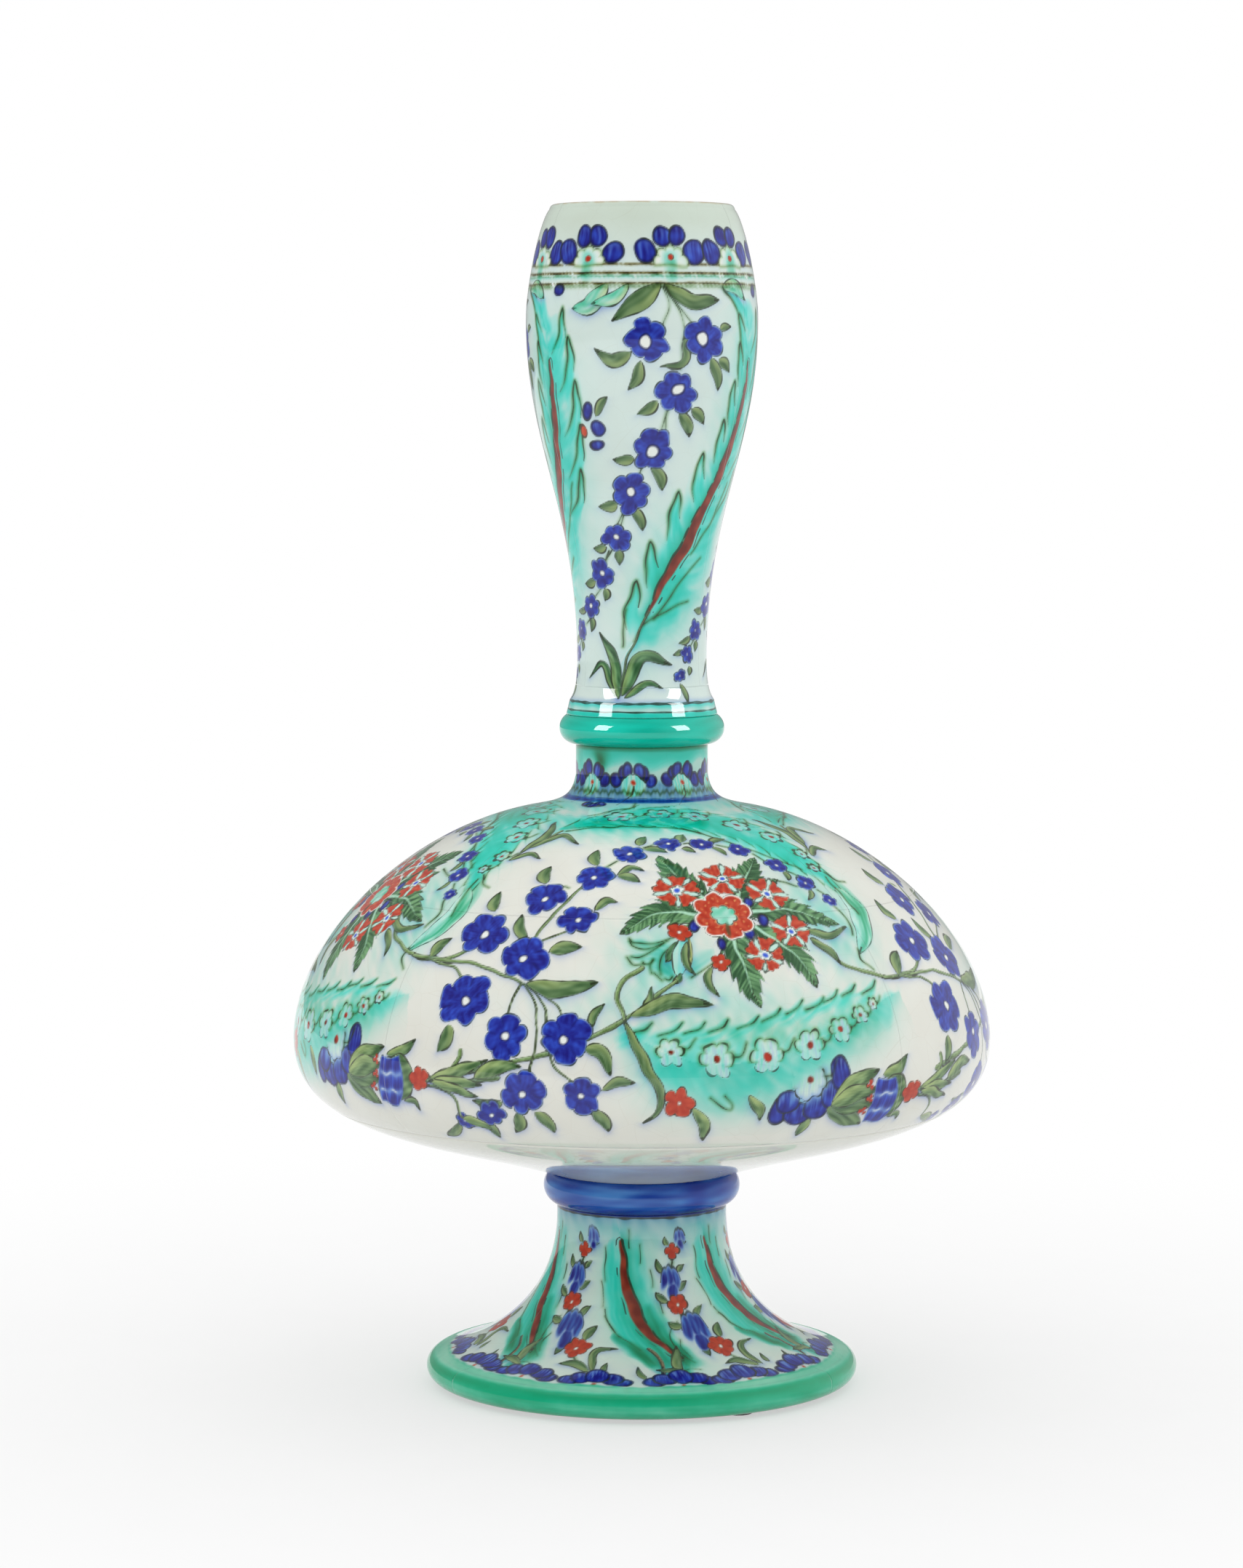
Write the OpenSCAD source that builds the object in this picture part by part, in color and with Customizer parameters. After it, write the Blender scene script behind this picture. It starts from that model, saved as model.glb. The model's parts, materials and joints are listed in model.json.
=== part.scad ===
// Footed faience vase with a club-shaped neck, thrown in four hollow sections.
// The sections lap into each other at leather-hard and are luted with slip.
// Millimetres, +Z up. The origin is the middle of the plane that the vase stands on.

/* [Foot] */
// Widest diameter of the rolled rim
rim_d = 185; // [176:1:196]
// Height of the rolled rim
rim_h = 11; // [9:0.5:12]
// Width of the flat ring that the rim stands on
seat_w = 21; // [17:0.5:24]
// Diameter of the foot at its waist
waist_d = 72.4; // [70:0.2:75]
// Height of the waist above the ground
waist_z = 74; // [70:1:77]
// Height of the shoulder that carries the lower bead
foot_top_z = 78; // [77:0.5:80]
// Wall of the foot
foot_wall = 8; // [7:0.5:10]
// Reach of the trumpet's flat run, in from the rim
trumpet_flat = 24; // [16:1:32]
// Rise of the trumpet over that flat run
trumpet_rise = 6; // [3:0.5:7]
// Reach of the trumpet's upright run, down from the waist
trumpet_upright = 37; // [30:1:42]

/* [Lower bead] */
// Widest diameter of the blue bead between foot and body
foot_bead_d = 84; // [82:0.5:88]
// Radius of that bead's round
foot_bead_round = 8; // [7.5:0.25:8.5]
// Height of the bead's widest part above the foot's shoulder
foot_bead_rise = 7.5; // [6:0.25:7.5]
// Outer diameter of the foot's tenon, which the bead is slipped over
tenon_d = 60; // [56:1:62]

/* [Body] */
// Widest diameter of the body
belly_d = 298; // [285:1:310]
// Height of the widest part
belly_z = 150; // [146:1:154]
// Height of the flat base of the body
base_z = 92; // [91:0.5:94]
// Diameter of that flat base
base_d = 79; // [76:1:82]
// Wall of the body
body_wall = 7; // [6:0.5:8]
// Reach of the conical underside, out from the base
under_run = 59; // [50:1:68]
// Rise of the conical underside over that reach
under_rise = 20; // [15:0.5:22]
// Reach of the belly's upright run, below its widest part
belly_low = 38; // [30:1:42]
// Reach of the belly's upright run, above its widest part
belly_high = 42; // [34:1:50]
// Height where the dome turns into the collar
dome_z = 248; // [244:1:250]
// Diameter of the dome at that height
dome_d = 100; // [92:1:108]
// Reach of the dome's shoulder, out from that diameter
dome_run = 50; // [42:1:58]
// Fall of the shoulder over that reach
dome_fall = 10; // [8:0.5:12]

/* [Collar] */
// Diameter of the collar under the upper bead
collar_d = 56; // [54:0.5:58]
// Height of the collar's top edge
collar_z = 276; // [274:0.5:277]
// Height that the hollow between dome and collar takes up
collar_sweep = 15; // [12:0.5:18]
// Reach of the dome's last run in towards the collar
collar_run = 16; // [13:0.5:18]
// Rise of the dome over that run
collar_rise = 3; // [2:0.25:4]
// Ease of the turn from the dome into the collar
collar_ease = 1.5; // [1:0.25:2.5]

/* [Upper bead] */
// Widest diameter of the green bead around the neck joint
neck_bead_d = 70; // [68:0.5:74]
// Radius of that bead's round
neck_bead_round = 6.5; // [6:0.25:7]

/* [Neck] */
// Diameter of the skirt that sits on the upper bead
skirt_d = 64; // [62:0.5:66]
// Height of the conical band on the skirt
band_h = 6; // [5:0.25:7]
// How much that band narrows in radius
band_taper = 1.5; // [1:0.1:2]
// How far the skirt sinks over the bead's crown
skirt_sink = 0.5; // [0.25:0.25:1]
// Ease of the turn from the band into the neck
band_ease = 1; // [0.5:0.25:1.5]
// Reach of the neck's upright run, below its smallest diameter
neck_foot = 10; // [7:0.5:12]
// Smallest diameter of the neck
neck_min_d = 54.8; // [53:0.2:57]
// Height of the smallest diameter
neck_min_z = 312; // [308:1:318]
// Largest diameter of the neck
neck_max_d = 98; // [92:1:104]
// Height of the largest diameter
neck_max_z = 456; // [450:1:462]
// Reach of the neck's upright run, above its smallest diameter
neck_low = 65; // [55:1:75]
// Reach of the neck's upright run, below its largest diameter
neck_high = 55; // [45:1:65]
// Reach of the neck's upright run, above its largest diameter
mouth_low = 14; // [10:1:18]
// Outer diameter of the mouth
mouth_d = 78; // [74:1:82]
// Height of the lip, which is the height of the vase
lip_z = 504; // [496:1:512]
// Wall of the neck
neck_wall = 5; // [4:0.5:5.5]
// Wall of the lip, and twice the size of its rounded edge
lip_wall = 4; // [3:0.25:4.5]

/* [Joints] */
// Height of the tongue in the lap joint at the belly
belly_lap = 4; // [3:0.5:5]
// Height of the tongue in the lap joint at the neck
neck_lap = 8; // [6:0.5:9]
// Height of the boss under the body that plugs the foot's tenon
boss_h = 4; // [3:0.5:6]
// Half the height of the straight stretch inside the belly joint
land_half = 6; // [5:0.5:7]
// Thickness of the slip band inside the belly
belly_slip = 3; // [2:0.5:4]
// Thickness of the slip band inside the neck joint
neck_slip = 1.5; // [1:0.25:2]
// Half the height of the slip band inside the neck joint
neck_slip_half = 5; // [4:0.5:6]
// Size of the slip fillet inside the foot
foot_slip = 4; // [3:0.5:5]

/* [Pads] */
// Diameter of a felt pad
pad_d = 14; // [10:0.5:16]
// Thickness of a felt pad
pad_t = 2; // [1.5:0.25:2.5]
// Angle of the first pad, from the front towards the right
pad_angle = 31; // [0:1:119]

/* [Hidden] */
$fn = 96;

white_glaze = "#dfe6e0";
neck_glaze = "#cfe3de";
foot_glaze = "#d6e6df";
green_glaze = "#28bea0";
blue_glaze = "#2b4fa3";
bare_slip = "#cdb9a0";
felt = "#2a2826";

// Segments on a long curve, on a short one and on a rounded edge
long_steps = 24;
short_steps = 12;
round_steps = 16;
// Least distance kept between a sampled curve and the corner that it runs into
corner_gap = 2;
pad_count = 3;

// Rolled rim of the foot: a half round between its underside and its top
roll = rim_h / 2;
roll_r = rim_d / 2 - roll;
rim_top_z = pad_t + rim_h;
seat_in_r = roll_r - seat_w;
waist_r = waist_d / 2;
tenon_r = tenon_d / 2;
tenon_bore_r = tenon_r - foot_wall;

// Belly: both halves have a straight inner land there, and the tongue is half the wall
base_r = base_d / 2;
belly_r = belly_d / 2;
land_thick = 0.5;
land_r = belly_r - body_wall - land_thick;
lap_r = (belly_r + land_r) / 2;
belly_lap_z = belly_z + belly_lap;

// Throat: the collar's bore, which the neck carries on past the joint
dome_r = dome_d / 2;
collar_r = collar_d / 2;
collar_low_z = dome_z + collar_sweep;
throat_r = collar_r - body_wall;
neck_lap_r = (collar_r + throat_r) / 2;
neck_lap_z = collar_z + neck_lap;
throat_top_z = neck_lap_z + neck_lap;
neck_bead_z = collar_z + neck_bead_round;
skirt_z = neck_bead_z + neck_bead_round - skirt_sink;
skirt_r = skirt_d / 2;
band_z = skirt_z + band_h;
neck_min_r = neck_min_d / 2;
neck_max_r = neck_max_d / 2;
mouth_r = mouth_d / 2;
lip_edge = lip_wall / 2;
// Angle at which the lip's round leaves the outer curve
lip_turn = 30;

// Point at t on the cubic curve with the four control points p
function bezier(p, t) =
    pow(1 - t, 3) * p[0] + 3 * pow(1 - t, 2) * t * p[1] + 3 * (1 - t) * t * t * p[2] + pow(t, 3) * p[3];

// Points along the curve p, both ends included
function curve(p, steps) = [for (i = [0:steps]) bezier(p, i / steps)];

// Points on an arc around c, from angle a0 to a1, both ends included
function arc(c, r, a0, a1, steps) =
    [for (i = [0:steps]) let (a = a0 + (a1 - a0) * i / steps) c + r * [cos(a), sin(a)]];

// Line a carried on by line b, whose first point is a's last
function carry_on(a, b) = concat(a, [for (i = [1:len(b) - 1]) b[i]]);

// Line pts moved sideways by d, to the left of its direction of travel
function beside(pts, d) = [for (i = [0:len(pts) - 1])
    let (run = pts[min(i + 1, len(pts) - 1)] - pts[max(i - 1, 0)])
    pts[i] + d * [-run[1], run[0]] / norm(run)];

// Points of pts in reverse order
function back(pts) = [for (i = [len(pts) - 1:-1:0]) pts[i]];

// Outer curves, as [radius, height] from below upwards
foot_outside = carry_on(
    arc([roll_r, pad_t + roll], roll, -90, 90, round_steps),
    curve([[roll_r, rim_top_z], [roll_r - trumpet_flat, rim_top_z + trumpet_rise],
        [waist_r, waist_z - trumpet_upright], [waist_r, waist_z]], long_steps));
bowl_outside = curve([[base_r, base_z], [base_r + under_run, base_z + under_rise],
    [belly_r, belly_z - belly_low], [belly_r, belly_z]], long_steps);
dome_outside = carry_on(
    curve([[belly_r, belly_z], [belly_r, belly_z + belly_high],
        [dome_r + dome_run, dome_z - dome_fall], [dome_r, dome_z]], long_steps),
    curve([[dome_r, dome_z], [dome_r - collar_run, dome_z + collar_rise],
        [collar_r + collar_ease, dome_z + collar_rise + collar_ease], [collar_r, collar_low_z]], short_steps));
neck_outside = carry_on(
    carry_on(
        curve([[skirt_r - band_taper, band_z], [neck_min_r + band_ease, band_z + band_h / 2],
            [neck_min_r, neck_min_z - neck_foot], [neck_min_r, neck_min_z]], short_steps),
        curve([[neck_min_r, neck_min_z], [neck_min_r, neck_min_z + neck_low],
            [neck_max_r, neck_max_z - neck_high], [neck_max_r, neck_max_z]], long_steps)),
    curve([[neck_max_r, neck_max_z], [neck_max_r, neck_max_z + mouth_low],
        [mouth_r + lip_wall, lip_z - 3 * lip_edge], [mouth_r, lip_z - lip_edge]], short_steps));

// Inner curves: one wall inside the outer ones, up to the joints
foot_inside = [for (p = beside(foot_outside, foot_wall))
    if (p[0] < seat_in_r - corner_gap && p[1] > rim_top_z) p];
bowl_inside = [for (p = beside(bowl_outside, body_wall))
    if (p[1] < belly_z - land_half - corner_gap) p];
dome_inside = [for (p = beside(dome_outside, body_wall))
    if (p[1] > belly_z + land_half + corner_gap && p[1] < collar_low_z - corner_gap) p];
neck_inside = [for (p = beside(neck_outside, neck_wall))
    if (p[1] > neck_min_z - corner_gap && p[1] < lip_z - 2 * corner_gap) p];

// Solid of revolution from a closed outline in [radius, height]
module turned(outline) {
    rotate_extrude()
        polygon(outline);
}

// Round bead on a cylinder: a torus cut by its bore and by two level planes
module bead(widest_d, round_r, middle_z, bore_r, low_z, high_z) {
    rotate_extrude()
        intersection() {
            translate([widest_d / 2 - round_r, middle_z])
                circle(r = round_r);
            translate([bore_r, low_z])
                square([widest_d, high_z - low_z]);
        }
}

// Trumpet foot, open underneath, with a rolled rim and a tenon on top
module pedestal_foot() {
    color(foot_glaze)
        turned(concat(
            [[seat_in_r, pad_t]],
            foot_outside,
            [[waist_r, foot_top_z], [tenon_r, foot_top_z], [tenon_r, base_z],
             [tenon_bore_r, base_z], [tenon_bore_r, waist_z]],
            back(foot_inside)));
}

// Blue bead over the tenon, between the foot's shoulder and the body
module foot_bead() {
    color(blue_glaze)
        bead(foot_bead_d, foot_bead_round, foot_top_z + foot_bead_rise, tenon_r, foot_top_z, base_z);
}

// Lower half of the body: a flat base with a boss, a shallow bowl and a tongue at the belly
module body_bowl() {
    color(white_glaze)
        turned(concat(
            [[0, base_z - boss_h], [tenon_bore_r, base_z - boss_h], [tenon_bore_r, base_z]],
            bowl_outside,
            [[lap_r, belly_z], [lap_r, belly_lap_z], [land_r, belly_lap_z],
             [land_r, belly_z - land_half]],
            back(bowl_inside),
            [[0, bowl_inside[0][1]]]));
}

// Upper half of the body: the dome and the collar, with a tongue for the neck
module body_dome() {
    color(white_glaze)
        turned(concat(
            [[lap_r, belly_lap_z], [lap_r, belly_z]],
            dome_outside,
            [[collar_r, collar_z], [neck_lap_r, collar_z], [neck_lap_r, neck_lap_z],
             [throat_r, neck_lap_z], [throat_r, collar_low_z]],
            back(dome_inside),
            [[land_r, belly_z + land_half], [land_r, belly_lap_z]]));
}

// Green bead over the joint between collar and neck
module neck_bead() {
    color(green_glaze)
        bead(neck_bead_d, neck_bead_round, neck_bead_z, collar_r, collar_z, skirt_z);
}

// Club-shaped neck with a banded skirt at its foot and a thin rounded lip
module neck() {
    color(neck_glaze)
        turned(concat(
            [[neck_lap_r, collar_z], [collar_r, collar_z], [collar_r, skirt_z], [skirt_r, skirt_z]],
            neck_outside,
            arc([mouth_r - lip_edge, lip_z - lip_edge], lip_edge, lip_turn, 180, round_steps / 2),
            back(neck_inside),
            [[throat_r, throat_top_z], [throat_r, neck_lap_z], [neck_lap_r, neck_lap_z]]));
}

// Fillet of slip between the body's boss and the foot's tenon, seen from underneath
module foot_slip_fillet() {
    fillet_z = base_z - boss_h;
    edge = foot_slip / 8;
    color(bare_slip)
        turned(concat(
            [[tenon_bore_r, fillet_z - foot_slip], [tenon_bore_r, fillet_z], [tenon_bore_r - foot_slip, fillet_z]],
            arc([tenon_bore_r - foot_slip, fillet_z - foot_slip], foot_slip - edge, 90, 0, round_steps / 2)));
}

// Band of slip smoothed over the belly joint from inside
module belly_slip_band() {
    slip_half = land_half - 1;
    color(bare_slip)
        turned([[land_r, belly_z - slip_half], [land_r, belly_z + slip_half],
            [land_r - belly_slip, belly_z + slip_half - belly_slip],
            [land_r - belly_slip, belly_z - slip_half + belly_slip]]);
}

// Band of slip smoothed over the neck joint from inside
module neck_slip_band() {
    color(bare_slip)
        turned([[throat_r, neck_lap_z - neck_slip_half], [throat_r, neck_lap_z + neck_slip_half],
            [throat_r - neck_slip, neck_lap_z + neck_slip_half - neck_slip],
            [throat_r - neck_slip, neck_lap_z - neck_slip_half + neck_slip]]);
}

// Felt pad number i under the rim; the pads are evenly spaced around it
module felt_pad(i) {
    color(felt)
        rotate([0, 0, pad_angle + 360 * (i - 1) / pad_count])
            translate([0, -(roll_r - seat_w / 2), 0])
                cylinder(d = pad_d, h = pad_t);
}

pedestal_foot();
foot_bead();
body_bowl();
body_dome();
neck_bead();
neck();
foot_slip_fillet();
belly_slip_band();
neck_slip_band();
for (i = [1:pad_count])
    felt_pad(i);
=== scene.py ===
"""Looks of a footed faience vase: painted glaze over the thrown clay, beads, felt pads and a plain studio.

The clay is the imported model. Over it lie thin coats of glaze, each a grid of turn (degrees round the axis,
from the front to the right) and rise (millimetres along the outline). The ornament is painted on those grids
with brush marks, each a formula of the distance from its edge, and the coat carries it as colours of its
points.
"""

from __future__ import annotations

import json
import logging
import math
from collections.abc import Iterable, Iterator
from dataclasses import dataclass
from enum import Enum

import bpy
import numpy as np
from mathutils import Euler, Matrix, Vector

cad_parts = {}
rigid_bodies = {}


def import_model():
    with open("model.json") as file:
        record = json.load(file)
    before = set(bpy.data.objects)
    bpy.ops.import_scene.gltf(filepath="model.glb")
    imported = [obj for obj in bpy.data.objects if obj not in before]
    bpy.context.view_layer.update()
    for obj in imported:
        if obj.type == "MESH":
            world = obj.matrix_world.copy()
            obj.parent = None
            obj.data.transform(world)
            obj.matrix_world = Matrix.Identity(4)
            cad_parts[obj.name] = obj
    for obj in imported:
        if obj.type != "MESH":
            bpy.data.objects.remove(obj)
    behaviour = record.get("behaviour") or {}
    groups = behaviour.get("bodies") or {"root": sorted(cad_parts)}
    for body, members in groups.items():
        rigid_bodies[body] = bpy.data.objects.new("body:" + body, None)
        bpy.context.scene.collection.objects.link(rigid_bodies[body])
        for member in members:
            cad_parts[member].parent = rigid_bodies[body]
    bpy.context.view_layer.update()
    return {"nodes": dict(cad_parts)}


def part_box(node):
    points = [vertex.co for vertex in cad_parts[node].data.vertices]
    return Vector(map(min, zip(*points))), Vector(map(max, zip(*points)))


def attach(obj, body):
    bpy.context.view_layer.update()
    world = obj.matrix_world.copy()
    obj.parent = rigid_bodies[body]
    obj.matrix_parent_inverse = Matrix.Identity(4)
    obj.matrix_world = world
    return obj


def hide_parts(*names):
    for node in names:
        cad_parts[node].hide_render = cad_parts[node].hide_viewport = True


Array = np.ndarray
Spot = tuple[float, float]
Route = list[Spot]

log = logging.getLogger("vase")

MM = 0.001
WAVES = 6
FAR = 4.0
LINE = 0.4
HAIR = 0.3
EDGE = 0.7
STRIDE = 4
WHOLE_TURN = (-180.0, 180.0)
PAINT = "paint"
INK = "ink"
BAKE_MAP = "OFBake"


class Tone(Enum):
    """Fired colours of pigments and glazes, in sRGB from 0 to 255."""

    WHITE = (230, 231, 222)
    NECK_WHITE = (218, 235, 229)
    FOOT_WHITE = (218, 232, 222)
    PALE = (238, 243, 237)
    MINT = (190, 230, 218)
    TURQUOISE = (36, 230, 214)
    AQUA = (104, 218, 206)
    JADE = (92, 200, 164)
    SEA = (12, 150, 112)
    COBALT = (24, 22, 122)
    COBALT_LIGHT = (54, 92, 212)
    HALO = (150, 168, 232)
    SKY = (128, 170, 222)
    LEAF = (64, 98, 58)
    LEAF_LIGHT = (124, 154, 108)
    DEEP = (42, 84, 50)
    DEEP_LIGHT = (118, 168, 116)
    YELLOW = (190, 196, 112)
    OLIVE = (86, 114, 60)
    OLIVE_LIGHT = (150, 180, 124)
    RED = (178, 48, 26)
    RED_LIGHT = (206, 84, 54)
    ORANGE = (226, 150, 92)
    BROWN = (108, 34, 20)
    BROWN_LIGHT = (152, 62, 40)
    UMBER = (112, 96, 56)
    RIM_GREEN = (8, 174, 128)
    RIM_LIGHT = (146, 224, 194)
    BEAD_GREEN = (4, 182, 158)
    BEAD_LIGHT = (24, 208, 184)
    BLUE_BEAD = (18, 58, 160)
    BLUE_LIGHT = (76, 138, 214)
    BUFF = (188, 160, 122)
    BUFF_DARK = (158, 128, 94)
    FELT = (24, 24, 22)
    FELT_LIGHT = (58, 57, 53)
    DARK = (38, 46, 28)

    @property
    def rgb(self) -> Array:
        """The colour as three shares from 0 to 1, still in sRGB."""
        return np.array(self.value) / 255.0

    @property
    def linear(self) -> tuple[float, float, float, float]:
        """The colour as a shader socket takes it: linear light, with alpha 1."""
        return (*to_linear(self.rgb), 1.0)


def to_linear(colour: Array) -> Array:
    """Linear light from sRGB shares: the power 2.4 curve with its straight foot."""
    return np.where(colour <= 0.04045, colour / 12.92, ((colour + 0.055) / 1.055) ** 2.4)


def bezier(start: Spot, pull: Spot, push: Spot, end: Spot, count: int = 200) -> Array:
    """Points of a cubic curve: the Bernstein sum of its four control points.

    Args:
        start: First point.
        pull: Control point that the curve leaves towards.
        push: Control point that it arrives from.
        end: Last point.
        count: Number of points.

    Returns:
        The points, one row each.
    """
    t = np.linspace(0.0, 1.0, count)[:, None]
    a, b, c, d = (np.array(p, float) for p in (start, pull, push, end))
    return (1 - t) ** 3 * a + 3 * t * (1 - t) ** 2 * b + 3 * t**2 * (1 - t) * c + t**3 * d


def arc(centre: Spot, radius: float, first: float, last: float, count: int = 60) -> Array:
    """Points of a round stretch, from the first to the last angle in degrees."""
    angle = np.radians(np.linspace(first, last, count))
    return np.column_stack([centre[0] + radius * np.cos(angle), centre[1] + radius * np.sin(angle)])


def straight(start: Spot, end: Spot, count: int = 40) -> Array:
    """Evenly spaced points of a straight stretch."""
    return np.linspace(start, end, count)


def spline(points: Route, fine: int = 6) -> Array:
    """A smooth line through a few points: the Catmull-Rom cubic between each pair of neighbours.

    Args:
        points: Turn and rise of the points, in order.
        fine: Steps between neighbours.

    Returns:
        The line's points, one row each.
    """
    p = np.array(points, float)
    p = np.vstack([2 * p[0] - p[1], p, 2 * p[-1] - p[-2]])
    t = (np.arange(fine) / fine)[None, :, None]
    a, b, c, d = (p[k : len(p) - 3 + k, None, :] for k in range(4))
    rows = 0.5 * (2 * b + (c - a) * t + (2 * a - 5 * b + 4 * c - d) * t**2 + (3 * b - a - 3 * c + d) * t**3)
    return np.vstack([rows.reshape(-1, 2), p[-2]])


def ripple(x: Array, y: Array, pitch: float, seed: int) -> Array:
    """Smooth unevenness from about -1 to 1: a sum of sine waves of seeded heading, length and phase.

    Args:
        x: First coordinate in millimetres.
        y: Second coordinate in millimetres.
        pitch: Usual wave length in millimetres.
        seed: Chooses the waves.

    Returns:
        One value for each place.
    """
    draw = np.random.default_rng(seed)
    heading, phase = draw.uniform(0.0, math.tau, (2, WAVES))
    pace = math.tau / (pitch * draw.uniform(0.6, 1.8, WAVES))
    total = np.zeros(np.broadcast(x, y).shape)
    for k in range(WAVES):
        total += np.sin((x * np.cos(heading[k]) + y * np.sin(heading[k])) * pace[k] + phase[k])
    return total / 2.2


def spread(distance: Array, edge: float = EDGE) -> Array:
    """Share of a mark that covers each place: 1 inside, 0 outside, with a ramp of that width between."""
    return np.clip(0.5 - distance / edge, 0.0, 1.0)


def hump(distance: Array, width: float) -> Array:
    """A bell over the distance: 1 in its middle, a little over a third at the width."""
    return np.exp(-((distance / width) ** 2))


def fading(distance: Array, reach: float) -> Array:
    """1 inside an edge, dying away outside it over the reach."""
    return np.exp(-np.maximum(distance, 0.0) / reach)


def mixed(light: Tone, dark: Tone, shade: Array) -> Array:
    """Two tones mixed at each place, light where the shade is 1 and dark where it is 0."""
    return dark.rgb + (light.rgb - dark.rgb) * np.clip(shade, 0.0, 1.0)[..., None]


def oval(u: Array, v: Array, centre: Spot, half: Spot, lean: float = 0.0) -> Array:
    """Distance from an oval's edge, negative inside: the scaled radius less 1, times the shorter half.

    Args:
        u: Places across, in millimetres.
        v: Places up, in millimetres.
        centre: The oval's middle.
        half: Its half width and half height.
        lean: Its turn in degrees, counter-clockwise.

    Returns:
        One distance for each place.
    """
    c, s = math.cos(math.radians(lean)), math.sin(math.radians(lean))
    x, y = u - centre[0], v - centre[1]
    return (np.hypot((x * c + y * s) / half[0], (y * c - x * s) / half[1]) - 1.0) * min(half)


def petalled(u: Array, v: Array, radius: float, petals: int, spin: float, share: float) -> tuple[Array, ...]:
    """A ring of round petals: along each ray, the far edge of the circle about the nearest petal's middle.

    Args:
        u: Places across, in millimetres from the middle.
        v: Places up.
        radius: Reach of the petals.
        petals: How many.
        spin: Turn of the first petal's axis in radians.
        share: A petal's radius as a share of the reach.

    Returns:
        Distance from the edge, distance from the middle, angle from the petal's axis and the petal's number.
    """
    rho = np.hypot(u, v)
    sector = math.tau / petals
    angle = np.arctan2(v, u) - spin + sector / 2
    number = np.floor(angle / sector)
    lobe = np.abs(angle - (number + 0.5) * sector)
    hub, ball = radius * (1 - share), radius * share
    edge = hub * np.cos(lobe) + np.sqrt(np.maximum(ball**2 - (hub * np.sin(lobe)) ** 2, 0.0))
    return rho - edge, rho, lobe, number


class Profile:
    """An outline of radius and height that runs upwards, with the length along it as its rise."""

    def __init__(self, stretches: list[Array], zero: int) -> None:
        """Joins stretches end to end and counts the rise from the start of one of them.

        Args:
            stretches: Points of radius and height in millimetres, each stretch starting where the last ended.
            zero: Number of the stretch that the rise is counted from.
        """
        self.points = np.vstack([stretches[0], *(s[1:] for s in stretches[1:])])
        steps = np.hypot(*np.diff(self.points, axis=0).T)
        self.rise = np.concatenate([[0.0], np.cumsum(steps)])
        start = sum(len(s) - 1 for s in stretches[:zero])
        self.rise = self.rise - self.rise[start]
        tangent = np.gradient(self.points, self.rise, axis=0)
        tangent /= np.hypot(*tangent.T)[:, None]
        self.out = np.column_stack([tangent[:, 1], -tangent[:, 0]])

    def radius(self, rise: Array) -> Array:
        """Radius at each rise, in millimetres."""
        return np.interp(rise, self.rise, self.points[:, 0])

    def place(self, turn: Array, rise: Array, lift: float) -> Array:
        """Points of the turned surface, lifted along its outward direction.

        Args:
            turn: Degrees from the front to the right.
            rise: Millimetres along the outline.
            lift: Distance outside the outline, in millimetres.

        Returns:
            A grid of points in metres, rows by rise and columns by turn.
        """
        r = self.radius(rise) + lift * np.interp(rise, self.rise, self.out[:, 0])
        z = np.interp(rise, self.rise, self.points[:, 1]) + lift * np.interp(rise, self.rise, self.out[:, 1])
        angle = np.radians(turn)[None, :]
        up = np.broadcast_to(z[:, None], (len(rise), len(turn)))
        return MM * np.stack([r[:, None] * np.sin(angle), -r[:, None] * np.cos(angle), up], axis=-1)


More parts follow.
